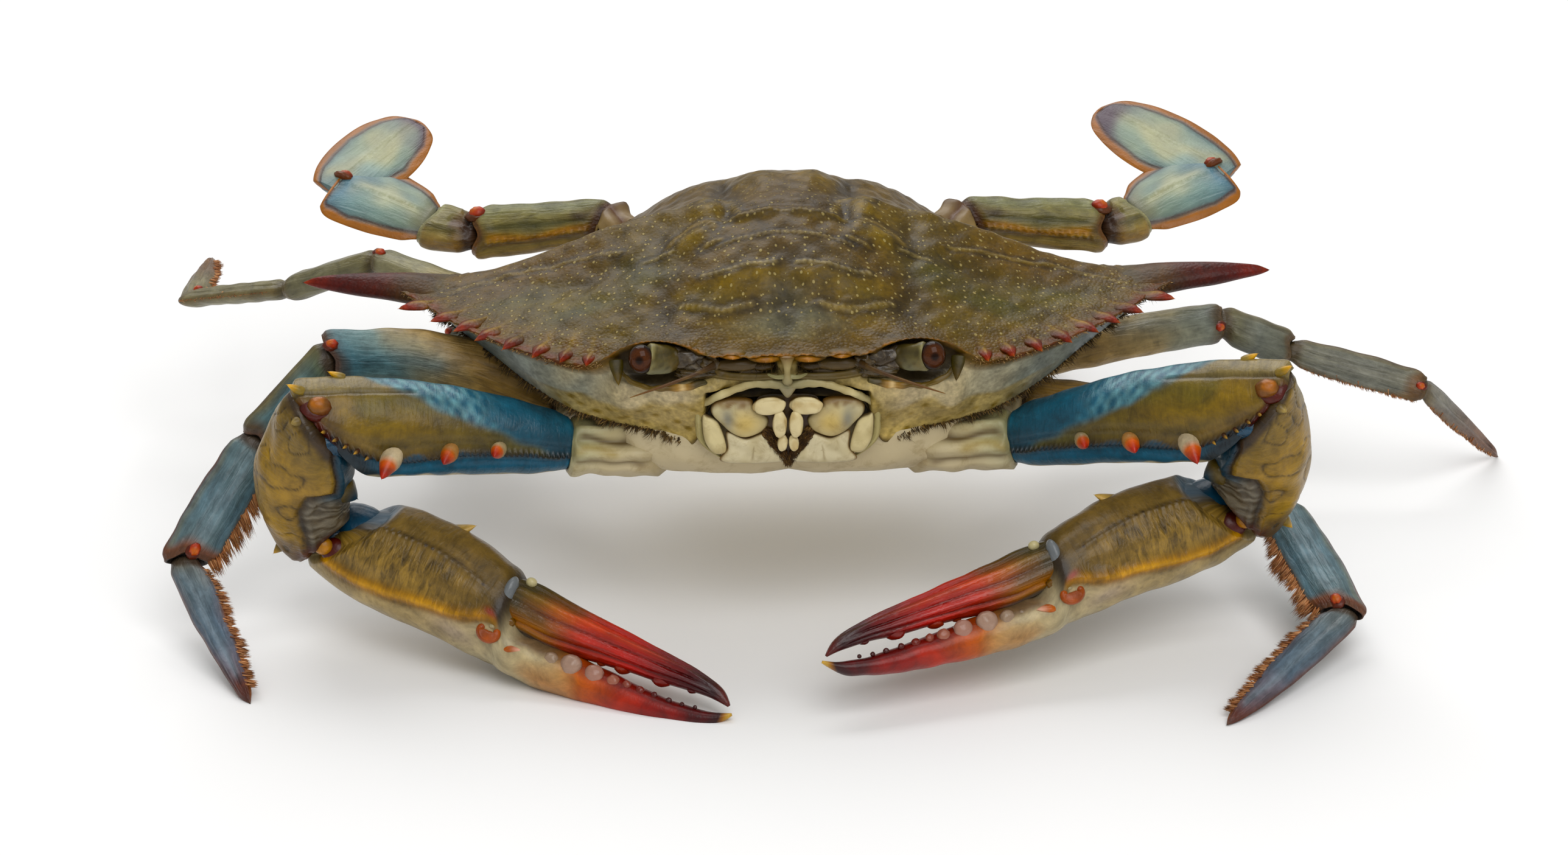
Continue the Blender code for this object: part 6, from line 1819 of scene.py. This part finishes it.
def build_hand(side, joints):
    """The palm, and the moving finger with its hinge."""
    prefix = f"claw_{SIDE_NAMES[side]}"
    build_palm(side, joints)
    path, sections = hand_limb(joints[3], joints[4], FINGER_STATIONS, CLAW_GAPE[side], HAND_HEIGHT[side])
    finger = limb(path, sections, HAND_FACE, 110, 200, seed=94, rough=0.06)
    along = along_hand(finger, FINGER_STATIONS)
    worn = window(along, 38, 70, 4) * finger.in_body
    for degrees, width, height in ((58, 7, 0.4), (82, 6, -0.45), (104, 8, 0.35), (126, 6, -0.4),
            (30, 6, -0.35), (10, 8, 0.2), (-60, 8, 0.3), (-95, 7, -0.35)):
        amount = height * round_bell(finger.degrees, degrees, width) * worn
        finger.points += finger.outward * amount[:, None]
    stops = [(35.5, "#3a2e14"), (41, "#443616"), (45, "#6c4418"), (48, "#94481a"), (51, "#a83419"),
        (55, "#b0261a"), (60, "#ac221c"), (64, "#7e1e1c"), (67, "#4c181a"), (73, "#341214"),
        (77.5, "#5a1c16")]
    jitter = waves(finger.lie, 7, 71)
    paint = gradient(stops, along + 1.5 * jitter)
    turn = front_turn(finger)
    paint = blend(
        paint,
        ("#a8661c", 0.9 * bell(turn, 122, 16) * window(along, 37.5, 47, 2)),
        ("#7d7a76", 0.75 * bell(turn, 154, 9) * window(along, 39.5, 49, 2)),
        ("#3c3418", 0.85 * bell(turn, 5, 42) * fall(along + 2 * jitter, 47, 53)),
        ("#8a6c34", 0.5 * bell(turn, 58, 8) * window(along, 39, 48, 2)),
        ("#cc5a34", 0.4 * bell(turn, 58, 8) * window(along, 47, 63, 3)),
        ("#54140e", 0.7 * (bell(turn, 82, 5) + bell(turn, 126, 5)) * window(along, 44, 68, 3)),
        ("#5a1410", 0.6 * bell(turn, 175, 22) * window(along, 50, 76, 3)),
    )
    finger.paint = paint
    finger.marks = flat_marks(paint, 0, 1)
    teeth = hand_teeth(finger, FINGER_STATIONS, FINGER_TEETH, 172,
        [(0, "#9a7a60"), (0.35, "#a05844"), (0.6, "#8a2820"), (0.8, "#4a1818"), (1, "#341214")])
    lumps = [hand_blob(side, (36.2, 4.2, 3.7), (1.1, 2.8, 1.6), "#6c7072", seed=4),
        hand_blob(side, (38.2, 7, 1.6), (0.95, 0.85, 0.9), "#c4b98e", seed=5),
        hand_blob(side, (37.4, -0.2, 3.4), (1.6, 1.1, 1.2), "#6a4a1c", 0.1, seed=6)]
    make_shell(f"{prefix}_finger", [finger] + lumps + teeth, "finger")


def build_margin_hair():
    """The dark fringe of stiff hair under the edge of the shield, and the short hair between its teeth."""
    draw = np.random.default_rng(77)
    for name, span, rise, count, length, drop in (("lower", (0.22, 0.62), 1.97, 1500, 2, 0.9),
            ("edge", (0.3, 0.58), 1.03, 700, 0.9, 0.15)):
        place = draw.uniform(*span, count)
        side = np.where(draw.uniform(size=count) < 0.5, -1, 1)
        jitter = draw.normal(size=count) * 0.015
        root = carapace_profile(place, np.full(count, rise) + jitter)
        out = unit(root - np.array([0, CARAPACE_CENTRE_Y, 44]))
        out[:, 2] = -drop + draw.normal(size=count) * 0.25
        root[:, 0] *= side
        out[:, 0] *= side
        # Neighbouring hairs lean together in locks
        out[:, 0] += 0.5 * np.sin(place * 420)
        out += draw.normal(size=(count, 3)) * 0.18
        size = length * draw.uniform(0.5, 1.1, count) * (0.4 + 0.6 * window(place, *span, 0.04))
        size *= 0.7 + 0.3 * np.sin(place * 210)
        colours = gradient([(0, "#33230f"), (0.6, "#5e4822"), (1, "#94743c")],
            draw.uniform(0, 1, count) ** 1.4)
        if name == "edge":
            colours = gradient([(0, "#6a4a28"), (1, "#b8945c")], draw.uniform(0, 1, count))
        uv = np.stack([0.5 + side * place * 0.48, np.full(count, 0.1 + rise * 0.3)], -1)
        make_hair(f"shield_{name}_hair", root, out, size, 0.1, colours, uv, 0.3, 78)


def build_mouth_hair():
    """Brown hair in the cleft between the outer mouthparts."""
    draw = np.random.default_rng(79)
    count = 1400
    z = draw.uniform(31, 37.2, count)
    inner = np.interp(z, [31, 33, 35.5, 37.2], [0, 0.2, 1.9, 3])
    outer = np.interp(z, [31, 33, 35.5, 37.2], [0.5, 2.2, 4.2, 4.2])
    side = np.where(draw.uniform(size=count) < 0.5, -1, 1)
    x = side * (inner + (outer - inner) * draw.uniform(0, 1, count))
    root = np.stack([x, np.full(count, -31.9), z], -1)
    way = np.stack([-x * 0.3, np.full(count, -0.7), np.full(count, -0.8)], -1)
    way += draw.normal(size=(count, 3)) * 0.25
    colours = gradient([(0, "#2c1a0a"), (0.6, "#50340f"), (1, "#7a5a26")], draw.uniform(0, 1, count))
    uv = np.stack([0.5 + x * 0.03, (z - 28) / 12], -1)
    make_hair("mouth_hair", root, way, draw.uniform(0.5, 1.2, count), 0.09, colours, uv, 0.2,
        80)


def stand(thing, place, right, up, back):
    """Puts a lamp or camera at a place, looking away from its back."""
    rows = zip(np.stack([right, up, back]).T, place)
    thing.matrix_world = Matrix([[*row, value] for row, value in rows] + [(0, 0, 0, 1)])


def area_light(name, place, aim, size, power):
    """A soft square light."""
    lamp = bpy.data.lights.new(name, "AREA")
    lamp.shape = "SQUARE"
    lamp.size = size
    lamp.energy = power
    place = np.array(place, float)
    back = unit(place - np.array(aim))
    right = unit(np.cross((0, 0, 1), back))
    stand(add_object(name, lamp), place, right, np.cross(back, right), back)


def build_stage():
    """Pale floor, soft light all round, a large lamp above and behind, and one in front."""
    bm = bmesh.new()
    bmesh.ops.create_grid(bm, x_segments=1, y_segments=1, size=6)
    mesh = bpy.data.meshes.new("floor")
    bm.to_mesh(mesh)
    bm.free()
    floor = add_object("floor", mesh)
    material, _, shader = start_material("matt white board", 0.9, specular=0.1)
    shader.inputs["Base Color"].default_value = (0.9, 0.9, 0.9, 1)
    mesh.materials.append(material)
    world = bpy.data.worlds.new("studio")
    world.use_nodes = True
    sky = world.node_tree.nodes["Background"]
    sky.inputs["Color"].default_value = (1, 0.99, 0.97, 1)
    sky.inputs["Strength"].default_value = 0.42
    bpy.context.scene.world = world
    bpy.context.scene.view_settings.view_transform = "Standard"
    area_light("rear softbox", (-0.2, 0.9, 1.2), (0, 0, 0.04), 1.2, 13.5)
    area_light("front softbox", (0.3, -0.9, 1.3), (0, 0, 0.03), 1.2, 13.5)


# The photo's camera, worked out from its view of the crab: its place, and the ways ahead and to its right
CAMERA_PLACE = (0, -694.39, 330.95)
CAMERA_WAYS = [(-0.0009, 0.9141, -0.4054), (0.9999, -0.0045, -0.0123)]


def build_camera():
    """The photo's view: about 22 degrees down on the crab from 750 mm in front."""
    lens = bpy.data.cameras.new("photo view")
    lens.sensor_width = 36
    lens.lens = 103.7
    lens.clip_start, lens.clip_end = 0.05, 20
    camera = add_object("photo view", lens)
    ahead, right = unit(np.array(CAMERA_WAYS))
    spot = (np.array(CAMERA_PLACE) + STANCE) * MM
    stand(camera, spot, right, np.cross(right, ahead), -ahead)
    bpy.context.scene.camera = camera


def build_crab():
    """Every piece of the crab."""
    build_carapace()
    build_eyes()
    build_feelers()
    build_mouth()
    build_thorax(build_legs() + build_paddles())
    build_abdomen()
    for side, joints in CLAW_JOINTS.items():
        build_arm(side, joints)
        build_hand(side, joints)
    build_margin_hair()
    build_mouth_hair()


build_camera()
build_stage()
build_crab()
